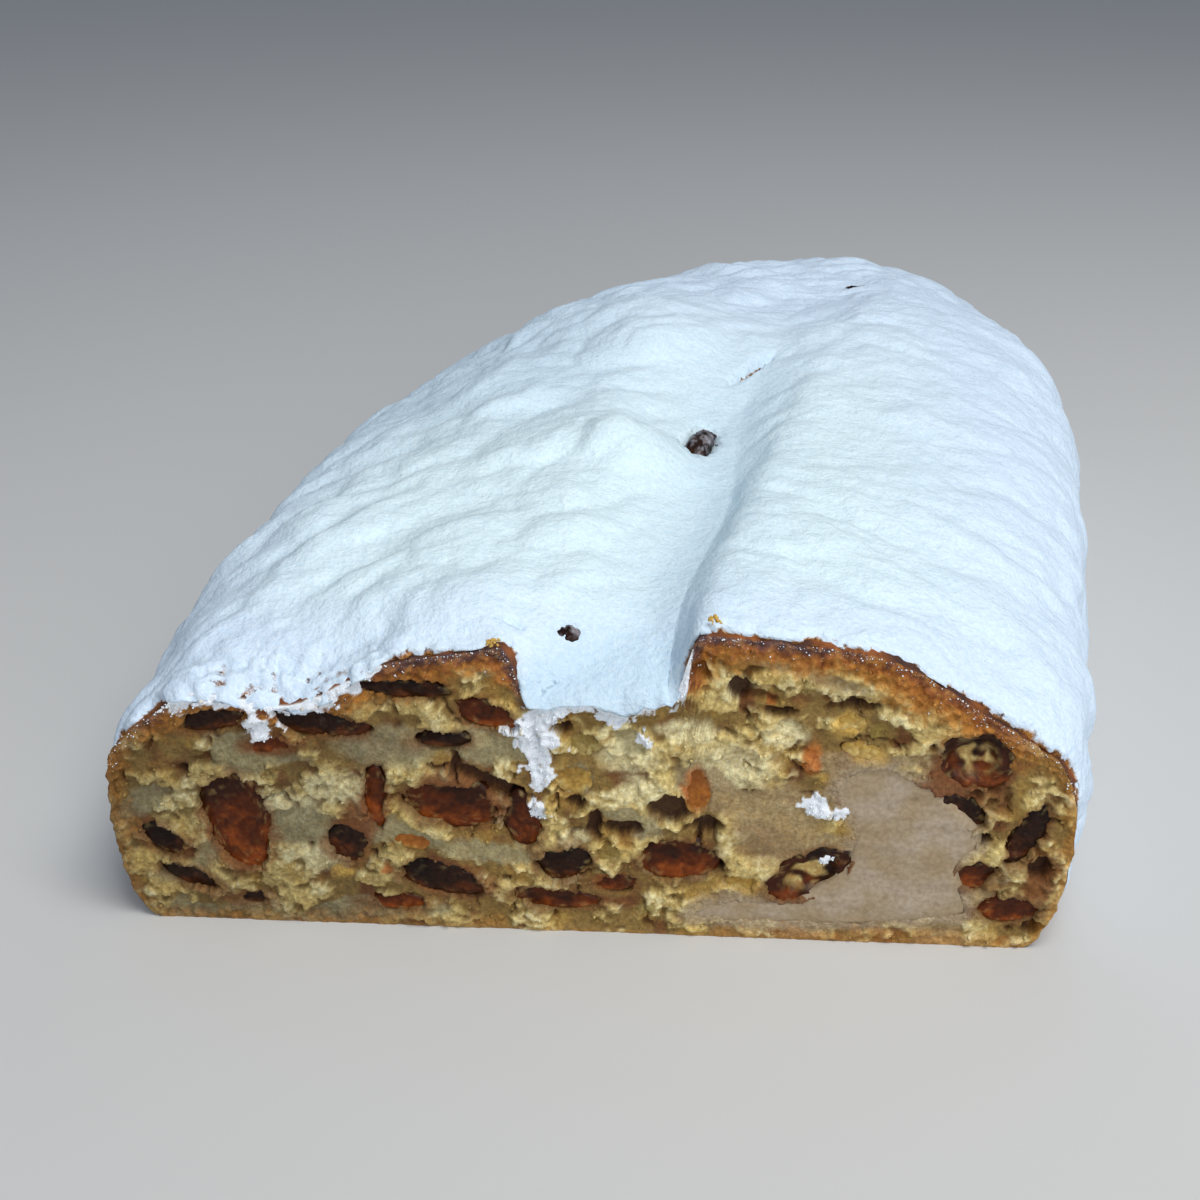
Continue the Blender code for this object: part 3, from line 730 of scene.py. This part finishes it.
crumbFinish = Shader("crumb", Roughness=0.8)
grain = crumbFinish.noise(1900, 4, 0.65)
grained = crumbFinish.grained(grain.step(0.3, 0.75), (218, 206, 182))
dusted = crumbFinish.kept("dust", "Fac").step(0.3, 0.7)
crumbFinish.feed(
    Base_Color=crumbFinish.mix(dusted, grained, paint(244, 249, 255)),
    Normal=crumbFinish.bump(grain, 0.00035),
)
points, faces, data = makeDough()
addPiece("dough.001", points, faces, crumbFinish, "crumb", ["dough"], **data)
print("dough built")


# --- the marzipan: a smooth front in the crumb, and a bar that runs back from it to a rounded end


def makeMarzipan():
    space = marzipan["spacing"]
    low, high = marzipanCurve.min(0) - 2, marzipanCurve.max(0) + 2
    x, z = np.meshgrid(np.arange(low[0], high[0], space), np.arange(low[1], high[1], space))
    gap, nearest = gapTo(x, z, marzipanCurve)
    kept = gap < marzipan["under"] + 0.25 * space
    whole = kept[:-1, :-1] & kept[1:, :-1] & kept[1:, 1:] & kept[:-1, 1:]
    quads = quadsOf(np.arange(x.size).reshape(x.shape))[whole.ravel()]

    # sides that belong to one quad only are the front's rim, which ends evenly outside the curve
    sides = np.concatenate([quads[:, [i, (i + 1) % 4]] for i in range(4)])
    _, back, count = np.unique(np.sort(sides, 1), axis=0, return_inverse=True, return_counts=True)
    rim = sides[count[back.reshape(-1)] == 1]
    x, z, gap, nearest = x.ravel(), z.ravel(), gap.ravel(), nearest.reshape(-1, 2)
    onRim = np.unique(rim)
    away = (np.stack([x, z], 1) - nearest)[onRim] / gap[onRim, None]
    x[onRim], z[onRim] = (nearest[onRim] + marzipan["under"] * away).T
    gap[onRim] = marzipan["under"]
    spot = np.stack([x, 0 * x, z], -1)

    # the front: nearly flat, dragged along by the knife, sinking at its rim
    drag = rough(spot * (0.3, 1, 1), 2.5, 3, 50)
    dents = fall(0.1, 0.3, pores(spot, 2.8, 51)[0])
    depth = marzipan["sunk"] + 0.12 * drag + 0.25 * rough(spot, 9, 2, 52) + 0.12 * dents
    depth = depth + 0.05 * rough(spot, 0.9, 2, 54) + 0.5 * rise(-0.2, 0.9, gap)
    rings = [np.stack([x, depth, z], -1)]
    core = np.array(marzipan["core"])
    for y, share in marzipan["stations"]:
        drift = centreX(y) - loaf["cutOffset"]
        middle = core + (np.stack([x, z], -1) - core) * share
        rings.append(np.stack([middle[:, 0] + drift, 0 * x + y, middle[:, 1]], -1))
    domed = rings[-1].copy()
    domed[:, 1] += (marzipan["tip"] - y) * rise(0, 5, -gap)
    rings[-1] = domed
    bands = []
    for i in range(len(rings) - 1):
        ahead, behind = rim + i * x.size, rim + (i + 1) * x.size
        bands.append(np.stack([ahead[:, 1], ahead[:, 0], behind[:, 0], behind[:, 1]], 1))
    last = quads[:, ::-1] + (len(rings) - 1) * x.size
    points = np.concatenate(rings)
    patchy = 0.5 + 0.5 * rough(points, 6, 3, 53)
    tone = layered(
        tones["marzipan"],
        ("marzipanWarm", rise(0.2, 0.9, patchy)),
        # darker in the dents: painted shade
        ("marzipanDentShade", 0.35 * np.tile(dents, len(rings))),
        ("marzipanWarm", 0.5 * np.tile(fall(0, 1.6, -gap), len(rings))),
    )
    return points, [quads, *bands, last], tone


marzipanFinish = Shader("marzipan", Roughness=0.55)
fine = marzipanFinish.noise(1500)
marzipanFinish.feed(
    Base_Color=marzipanFinish.grained(fine.step(0.3, 0.7), (232, 226, 216)),
    Normal=marzipanFinish.bump(fine, 0.00008),
)
points, faces, tone = makeMarzipan()
addPiece("marzipan.001", points, faces, marzipanFinish, "marzipan", ["marzipan"], tone=tone)
print("marzipan built")


# --- the icing sugar: a soft coat over the skin, with a hidden inner side just under the crust

coat = dict(
    steps=310, crowding=1.25, rows=146, lowest=-0.66, innerEvery=5, innerLift=-0.9, thick=1.85,
    edgeWidth=2.4, bare=-0.78, rippleLength=3.4, duneLength=17.0, leftTurn=43, rightTurn=-12,
    stretch=2.0,
)


def sugarSurface(points):
    # height of the sugar's face over its even coat: puffed dunes and ripples that run up the left
    # lobe and along the right one, and fade in the valley
    x, y = points[..., 0], points[..., 1]
    onRight = rise(-4, 4, x - foldCrest(y))
    inValley = rise(1.5, 5, valley(x, y))
    bent = points + 2.5 * np.stack([rough(points, 12, 2, seed) for seed in (60, 61, 62)], -1)
    dunes = waves = 0
    for share, turn, seed in ((1 - onRight, coat["leftTurn"], 63), (onRight, coat["rightTurn"], 64)):
        along, across = turnedAxes(bent[..., 0], bent[..., 1], turn)
        drawnOut = np.stack([along / coat["stretch"], across, bent[..., 2]], -1)
        dunes = dunes + share * puffs(drawnOut, coat["duneLength"], 2, seed)
        waves = waves + share * puffs(drawnOut, coat["rippleLength"], 2, seed + 2)
    patch = 0.5 + 0.6 * ripple(points, 22, 67)
    height = (2.7 - 0.9 * onRight) * (dunes - 0.4) + 0.4 * (waves - 0.4) * patch
    height = height + 0.26 * rough(points, 6, 4, 68, 0.6)
    return height * (1 - 0.75 * inValley)


def makeCoat():
    edge = planOutline(coat["steps"], coat["crowding"])
    climb = evenClimb(coat["lowest"], 1, coat["rows"])
    skin = skinPoints(edge, climb)
    rows, stations = skin.shape[:2]
    outer = skinIndex(rows, stations)
    flat = skin.reshape(-1, 3)
    normal = pointNormals(flat, quadsOf(outer[:, ::-1]))
    normal[outer[-1, stations // 2 + 1 :]] = normal[outer[-1, : stations // 2][::-1]]
    x, y, z = flat.T
    surface = sugarSurface(flat)
    wander = rough(flat, 6, 3, 70)
    fine = rough(flat, 1.4, 2, 73)

    # the coat thins out over its front edge, over patches of crust near it, and down its sides
    spilt = np.maximum(between(-62, -56, -34, -28, x), between(-12, -9.5, 10, 12, x))
    back = y + 1.6 * spilt - 1.1 * (1 - spilt) * np.maximum(1 + 1.1 * wander + 0.5 * fine, 0)
    front = rise(-0.3, 0.7, back) * (0.45 + 0.55 * (1 - np.exp(-np.maximum(back, 0) / coat["edgeWidth"])))
    speck = between(-62, -54, -34, -26, x) * fall(3, 11, y + 2 * wander)
    foot = 3.0 + 15 * np.exp(-y / 14) * (x < 0) + 5 * np.exp(-y / 10) * (x > 0)
    side = rise(-2.5, 2.0, z - foot + 1.6 * wander + 0.8 * fine)
    cover = side * front * (1 - speck * np.clip(0.25 + 0.45 * fine, 0, 0.8))
    for (middleX, middleY, length, width, _, turn), bare in zip(topRaisins, bareness):
        reach = inOval(x, y, (middleX, middleY, length, width, turn))
        cover = cover * rise(bare - 0.35, bare + 0.3, reach + 0.2 * wander + 0.4 * fine)
    gash = allOf(fall(0.5, 1.5, inOval(x, y, place) + 0.3 * fine) for place in cracks)
    cover = cover * (1 - 0.72 * gash)
    thick = coat["thick"] * (0.5 + 0.5 * rise(8, 36, z))
    lift = cover * (thick + surface) + (1 - cover) * coat["bare"]

    # at the cut the lift turns forward, and what has spilt over the rim droops
    tilt = np.pi / 2 * fall(-0.3, 2.0, y)[:, None]
    points = flat + lift[:, None] * (normal * np.cos(tilt) + np.sin(tilt) * (0, -1, 0))
    low = 1.2 - 0.9 * rise(-20, -8, x) + 0.9 * rise(4, 8, x)
    droop = spilt * np.maximum(low + 1.6 * wander + 0.7 * fine, 0) * rise(3, 12, z - 20)
    points[:, 2] = np.maximum(points[:, 2] - droop * fall(-0.3, 2.4, y) ** 2, 0.15)

    # the inner side, coarser, set back at the cut, and joined to the outer one along every rim
    every = coat["innerEvery"]
    innerSkin = skinPoints(edge[::every], climb)
    inner = skinIndex(*innerSkin.shape[:2])
    innerFlat = innerSkin.reshape(-1, 3)
    innerPoints = innerFlat + pointNormals(innerFlat, quadsOf(inner[:, ::-1])) * coat["innerLift"]
    innerPoints[:, 1] += 1.6 * np.exp(-innerFlat[:, 1] / 3)
    inner = inner + len(points)
    start = every * np.arange(inner.shape[1] - 1)[:, None]
    footRim = np.hstack([outer[0][start + np.arange(every + 1)], inner[0, 1:, None], inner[0, :-1, None]])
    leftRim = quadsOf(np.stack([outer[:, 0], inner[:, 0]], 1))
    rightRim = quadsOf(np.stack([inner[:, -1], outer[:, -1]], 1))
    faces = [quadsOf(outer[:, ::-1]), quadsOf(inner), footRim, leftRim, rightRim]
    worn = np.maximum(speck, fall(0, 3, back) * (1 - spilt))
    shown = rise(0.05, 0.5, cover) * (1 - 0.66 * worn * np.clip(0.75 + 0.7 * fine, 0, 1)) * (1 - 0.5 * gash)

    # painted light and shade: a bluer white where the sugar turns away from the overhead lamp, at its
    # edges, far back and at the cut, and a duller white where shade falls in the valley, at the fold's foot
    # and on the far left
    shadeBlue = np.maximum(rise(60, 170, y), rise(30, 70, np.abs(x))) + 0.8 * fall(4, 22, y)
    paintedShade = rise(2, 8, valley(x, y)) * fall(5, 22, y)
    foldFoot = foldCrest(y) - 5 - 8 * rise(40, 110, y)
    paintedShade = np.maximum(paintedShade, 0.6 * np.exp(-(((x - foldFoot) / 9) ** 2)) * fall(90, 140, y))
    paintedShade = np.maximum(paintedShade, 0.65 * rise(50, 110, y) * fall(-20, 15, x))
    shadedTint = layered(tones["warmWhite"], ("shadeBlueWhite", shadeBlue), ("shadedWhite", paintedShade))
    hidden = np.zeros(len(innerPoints))
    data = dict(cover=np.append(shown, hidden), shadedTint=np.vstack([shadedTint, np.ones(innerPoints.shape)]))
    return np.vstack([points, innerPoints]), faces, data


sugarFinish = Shader("icing sugar", Roughness=0.85)
powder = sugarFinish.noise(1400, 4, 0.7)
speckle = sugarFinish.noise(900, 4, 0.75)
under = sugarFinish.mix(speckle.step(0.3, 0.7), tones["crustDark"], tones["crustInside"])
white = sugarFinish.grained(powder.step(0.3, 0.7), (212, 235, 248), (229, 247, 254), "shadedTint")
share = (sugarFinish.kept("cover", "Fac") * 1.3 + speckle * 0.9 - 0.75).step(0.0, 0.28)
clumped = sugarFinish.bump(sugarFinish.noise(380, 3, 0.6), 0.0006)
sugarFinish.feed(
    Base_Color=sugarFinish.mix(share, under, white), Normal=sugarFinish.bump(powder, 0.00022, clumped)
)
points, faces, data = makeCoat()
addPiece("icingSugar.001", points, faces, sugarFinish, "icing_sugar", ["sugar_coat"], **data)
print("icing sugar built")


# --- the fruit: cut berries and pieces of peel, flat in front and round behind

berry = dict(
    columns=60, frontRows=18, backRows=12, wholeColumns=56, wholeRows=34, behind=1.2, larger=1.17
)
kinds = dict(
    dark=dict(fold=3.0, crease=0.6, bulge=0.6, collar=0.1, hollow=0.0, sunk=1.3),
    amber=dict(fold=3.6, crease=0.5, bulge=0.45, collar=0.2, hollow=0.0, sunk=1.1),
    ring=dict(fold=2.4, crease=0.5, bulge=0.75, collar=0.45, hollow=1.5, sunk=1.2),
    peel=dict(fold=2.0, crease=0.4, bulge=0.3, collar=0.0, hollow=0.0, sunk=0.95),
)


def makeBerry(oval, seed, kind):
    # rings out from the middle of the front to its rim, and on round the back to the far pole
    middleX, middleZ, width, height, tilt, taper = ovalNumbers(oval)
    around = np.linspace(0, 2 * np.pi, berry["columns"], endpoint=False)[None]
    front = np.linspace(0.03, 1, berry["frontRows"])[:, None]
    back = np.linspace(0, np.pi / 2, berry["backRows"] + 1)[1:, None] * 0.98
    reach = np.concatenate([front, np.cos(back)])
    v = np.sin(around)
    u = reach * np.cos(around) * (1 - taper * (1 - v) / 2) * width / 2
    sideX, sideZ = turnedAxes(u, reach * v * height / 2, -tilt)
    uneven = rimWobble(np.arctan2(sideZ, sideX), middleX)
    x, z = middleX + sideX * uneven * berry["larger"], middleZ + sideZ * uneven * berry["larger"]
    deep = (min(width, height) / 2 + berry["behind"]) * np.concatenate([0 * front, np.sin(back)])
    spot = np.stack([x, deep + 0 * x + 3 * seed, z], -1)
    folds = puffs(spot, kind["fold"], 3, seed, 0.4)
    level = np.concatenate([1 - front**5, 0 * back])
    collar = kind["collar"] * np.exp(-(((reach - 0.87) / 0.08) ** 2))
    hollow = kind["hollow"] * fall(0.36, 0.7, reach + 0.14 * ripple(spot, 3, seed + 5))
    lift = kind["bulge"] + collar + kind["crease"] * (folds - 0.35) - hollow
    y = kind["sunk"] + deep * (1 + 0.12 * (folds - 0.4)) - level * lift
    return np.stack([x, y, z], -1), reach + 0 * around, folds


def addBerry(node, points, tone, finish, slot):
    # closes a berry's rings into a skin, with a small face over each pole
    index = np.arange(points[..., 0].size).reshape(points.shape[:2])
    faces = [quadsOf(np.hstack([index, index[:, :1]])), index[0][None, ::-1], index[-1][None]]
    addPiece(node + ".001", points.reshape(-1, 3), faces, finish, slot, [node], tone=tone.reshape(-1, 3))


fruitTones = dict(  # the flesh; a lighter tone, laid on at random and down the lower side as painted light; and a dark tone for the skin, also laid in the creases, and on top as painted shade
    dark=[(48, 27, 16), (104, 56, 25), (25, 14, 10)],
    amber=[(92, 44, 16), (150, 78, 28), (44, 22, 12)],
    ring=[(70, 35, 18), (140, 74, 32), (26, 15, 12)],
    yellow=[(192, 160, 84), (222, 200, 132), (156, 124, 62)],
    orange=[(172, 108, 46), (206, 158, 88), (140, 84, 38)],
    olive=[(160, 142, 82), (196, 182, 122), (130, 108, 58)],
)


def berryColours(points, reach, folds, hue, seed):
    # flesh in random patches that grows lighter down its lower side and darker on top, as painted light and
    # shade, with a darker tone in the creases, and crumb in the middle of a ring
    flesh, light, skin = (paint(*tone) for tone in fruitTones[hue])
    up = points[..., 2] - points[..., 2].mean()
    up = up / np.abs(up).max()
    # lighter low and darker high: painted light and shade, over random patches
    patchy = 0.7 * rough(points, 3.0, 3, seed + 80) - 0.75 * up
    colour = blend(flesh, light, 0.9 * rise(0.0, 0.75, patchy))
    colour = blend(colour, skin, 0.85 * rise(0.1, 0.7, -patchy))
    colour = blend(colour, skin, 0.55 * fall(0.05, 0.35, folds))
    flecks = rise(0.3, 0.5, rough(points, 1.3, 3, seed + 83)) * rise(0.45, 0.9, reach)
    colour = layered(colour, ("cream", 0.22 * flecks))
    if hue == "ring":
        filled = fall(0.3, 0.6, reach) * rise(-0.25, 0.2, ripple(points, 2.0, seed + 82))
        filled = filled * (points[..., 1] < points[..., 1].mean())
        colour = layered(colour, ("cream", 0.8 * filled))
    return colour


def fruitFinish(name, roughness, coatWeight, speck):
    made = Shader(name, Roughness=roughness, Coat_Weight=coatWeight)
    made.feed(
        Coat_Roughness=0.2,
        Specular_IOR_Level=0.12,
        Base_Color=made.grained(made.noise(1300).step(0.35, 0.75), speck),
        Normal=made.bump(made.noise(700), 0.00015),
    )
    return made


darkFinish = fruitFinish("dark raisin", 0.45, 0.05, (200, 180, 166))
amberFinish = fruitFinish("amber raisin", 0.4, 0.06, (214, 190, 170))
peelFinish = fruitFinish("candied peel", 0.45, 0.1, (226, 212, 190))

peelHues = ["olive", "yellow", "orange", "olive", "orange", "yellow", "yellow", "yellow"]
cutFruit = [
    ("raisin_dark", "dark_raisin", darkFinish, darkRaisins, ["dark"] * 12 + ["ring"]),
    ("raisin_amber", "amber_raisin", amberFinish, amberRaisins, ["amber"] * 12 + ["ring"]),
    ("peel", "candied_peel", peelFinish, peel, peelHues),
]
for fruit, slot, finish, places, hues in cutFruit:
    for number, (oval, hue) in enumerate(zip(places, hues), 1):
        seed = number + len(fruit)
        points, reach, folds = makeBerry(oval, seed, kinds[hue if hue in kinds else "peel"])
        colour = berryColours(points, reach, folds, hue, seed)
        addBerry(f"{fruit}_{number:02d}", points, colour, finish, slot)


def makeRaisin(place, bare, seed):
    # a whole raisin: rings from its top to its underside, drawn in by wrinkles; it stands higher
    # where the sugar leaves more of it bare
    middleX, middleY, length, width, height, turn = place
    down = np.linspace(0.03, np.pi - 0.03, berry["wholeRows"])[:, None]
    around = np.linspace(0, 2 * np.pi, berry["wholeColumns"], endpoint=False)[None]
    ring, level = np.sin(down), np.cos(down) + 0 * around
    out = np.stack([ring * np.cos(around), ring * np.sin(around), level], -1)
    folds = puffs(out * (1.6, 1.1, 1) + seed, 0.8, 2, seed)
    size = 0.9 + 0.26 * (folds - 0.35)
    u, v, w = np.moveaxis(out * size[..., None] * (length / 2, width / 2, height / 2), -1, 0)
    sideX, sideY = turnedAxes(u, v, -turn)
    share = np.linalg.norm(spineLine(np.array([middleY])) - (middleX, middleY)) / loaf["fullHalf"]
    top = domeHeight(middleX, middleY, (1 - share ** loaf["power"]) ** (1 / loaf["power"]))
    z = top + 0.9 + 0.65 * bare - 0.3 * height + w
    return np.stack([middleX + sideX, middleY + sideY, z], -1), folds


for number, (place, bare) in enumerate(zip(topRaisins, bareness), 1):
    points, folds = makeRaisin(place, bare, number)
    colour = berryColours(points, 0 * folds, folds, "dark", number)
    colour = layered(colour, ("frosted", 0.8 * rise(-0.1, 0.6, rough(points, 1.7, 2, 84))))
    addBerry(f"raisin_top_{number:02d}", points[::-1], colour[::-1], darkFinish, "dark_raisin")
print("fruit built")


# --- loose crumbs on the cut, and clumps of sugar on and over it

scatterings = dict(
    crumbsTried=6000, crumbs=1500, crumbSize=0.08, crumbSpread=0.3,
    clumpsTried=60000, clumps=9000, clumpSize=0.05, clumpSpread=0.13,
    fallen=[(15.4, 0.8, 52.2), (-14.4, 0.0, 48.4)],
    fallenLumps=16,
)


def makeLumps(places, sizes, seed):
    # twelve-cornered lumps of 20 triangles, each bent out of round in its own way: a corner at each
    # end and two rings of five between
    dice = np.random.default_rng(seed)
    turn = np.arange(10) * np.pi / 5
    level = np.where(np.arange(10) % 2 == 0, -0.45, 0.45)
    body = np.stack([0.89 * np.cos(turn), 0.89 * np.sin(turn), level], 1)
    body = np.concatenate([body, [[0, 0, -1], [0, 0, 1]]])
    shape = body * dice.uniform(0.55, 1.3, (len(places), 1, 3))
    shape = shape + dice.normal(0, 0.16, (len(places), len(body), 3))
    x, z = turnedAxes(shape[..., 0], shape[..., 2], -dice.uniform(0, 360, (len(places), 1)))
    points = places[:, None] + np.stack([x, shape[..., 1], z], -1) * sizes[:, None, None]
    low, high = np.arange(0, 10, 2), np.arange(1, 10, 2)
    lowNext, highNext = (low + 2) % 10, (high + 2) % 10
    triples = [(0 * low + 10, lowNext, low), (0 * low + 11, high, highNext)]
    triples += [(low, lowNext, high), (high, lowNext, highNext)]
    faces = np.concatenate([np.stack(triple, 1) for triple in triples])
    step = len(body) * np.arange(len(places))[:, None, None]
    return points.reshape(-1, 3), [(faces + step).reshape(-1, 3)]


def strewOnCut(count, seed):  # places strewn over the cut, with its depth and masks there
    dice = np.random.default_rng(seed)
    x, z = dice.uniform(-70, 66, count), dice.uniform(0.6, 50, count)
    depth, seen = readCut(x, z)
    return x, z, depth, seen, dice


def pick(keep, limit, *lists):
    where = np.flatnonzero(keep)[:limit]
    return [each[where] for each in lists]


tried = scatterings["crumbsTried"]
x, z, depth, seen, dice = strewOnCut(tried, 90)
keep = (seen["rim"] > 0.6) & (seen["fruit"] > -0.4) & (seen["inMarzipan"] > 0.5)
keep = keep & (depth < 1.2) & (seen["plain"] < 0.3)
x, z, depth, chance = pick(keep, scatterings["crumbs"], x, z, depth, dice.random(tried))
sizes = scatterings["crumbSize"] + scatterings["crumbSpread"] * chance**4
places = np.stack([x, depth - 0.2 * sizes, z], 1)
fallen = np.repeat(scatterings["fallen"], scatterings["fallenLumps"], 0)
fallen = fallen + dice.normal(0, 0.4, fallen.shape) * (1, 0.4, 0.7)
places, sizes = np.vstack([places, fallen]), np.append(sizes, dice.uniform(0.14, 0.34, len(fallen)))
points, faces = makeLumps(places, sizes, 91)
colour = np.vstack([cutColours(*readCut(x, z)), np.tile(tones["yellow"], (len(fallen), 1))])
colour = blend(colour, tones["cream"], np.full(len(colour), 0.1))
colour = np.repeat(colour, len(points) // len(places), 0)
addPiece("crumbs", points, faces, crumbFinish, "crumb", tone=colour)

looseFinish = Shader("loose sugar", Roughness=0.85)
powder = looseFinish.noise(1400, 4, 0.7)
looseFinish.feed(Base_Color=paint(238, 248, 254), Normal=looseFinish.bump(powder, 0.00012))

tried = scatterings["clumpsTried"]
x, z, depth, seen, dice = strewOnCut(tried, 92)
onCrust = (seen["band"] < 1) & (z > 26) & (dice.random(tried) < 0.03 + 0.95 * np.exp(-seen["rim"] / 0.55))
keep = (seen["rim"] > 0) & ((seen["dust"] > 0.3 + 0.7 * dice.random(tried)) | onCrust)
x, z, depth, loose, chance = pick(keep, scatterings["clumps"], x, z, depth, onCrust, dice.random(tried))
sizes = scatterings["clumpSize"] + scatterings["clumpSpread"] * chance**3
sizes = sizes * np.where(loose, 0.8, 1)
places = np.stack([x, np.minimum(depth, 2) - 0.3 * sizes, z], 1)
points, faces = makeLumps(places, sizes, 93)
addPiece("sugarClumps", points, faces, looseFinish, "icing_sugar")
print("crumbs and clumps built")


# --- camera, floor and light

studio = dict(
    eye=(10.46, -181.5, 148.5),
    down=62.8,
    turn=3.3,
    lens=46.71,
    floorHalf=10.0,
    lamps=[  # name, place, aim, size, power and colour
        ("overhead", (0.2, -0.3, 0.68), (0, 0.02, 0), 0.4, 3.78, (1, 0.99, 0.97)),
        ("front", (0.42, -1.15, 0.45), (0, -0.1, 0.02), 0.6, 4.5, (0.98, 0.98, 1)),
    ],
    sky=(0.5, 0.56, 0.66),
    skyStrength=0.42,
)


def addObject(name, data, place=(0, 0, 0), turn=(0, 0, 0)):
    made = bpy.data.objects.new(name, data)
    made.location = place
    made.rotation_euler = turn
    bpy.context.scene.collection.objects.link(made)
    return made


lens = bpy.data.cameras.new("camera")
lens.lens = studio["lens"]
lens.clip_start = 0.01
eye = (np.array(studio["eye"]) + origin) * 0.001
turn = (math.radians(studio["down"]), 0, math.radians(studio["turn"]))
bpy.context.scene.camera = addObject("camera", lens, eye, turn)

half = studio["floorHalf"]
ground = bpy.data.meshes.new("floor")
corners = [(-half, -half, 0), (half, -half, 0), (half, half, 0), (-half, half, 0)]
ground.from_pydata(corners, [], [(0, 1, 2, 3)])
floor = addObject("floor", ground)
floorFinish = Shader("pale floor", Roughness=0.9)
floorFinish.feed(Base_Color=paint(205, 205, 203))
ground.materials.append(floorFinish.material)

for name, place, aim, size, power, colour in studio["lamps"]:
    lamp = bpy.data.lights.new(name, "AREA")
    lamp.size = size
    lamp.energy = power
    lamp.color = colour
    way = np.array(aim) - place
    down = math.acos(-way[2] / np.linalg.norm(way))
    addObject(name, lamp, place, (down, 0, math.atan2(way[1], way[0]) - math.pi / 2))
sky = bpy.data.worlds.new("sky")
bpy.context.scene.world = sky
sky.use_nodes = True
background = sky.node_tree.nodes["Background"].inputs
background["Color"].default_value = (*studio["sky"], 1)
background["Strength"].default_value = studio["skyStrength"]
bpy.context.scene.view_settings.view_transform = "Standard"
print("camera and light set")
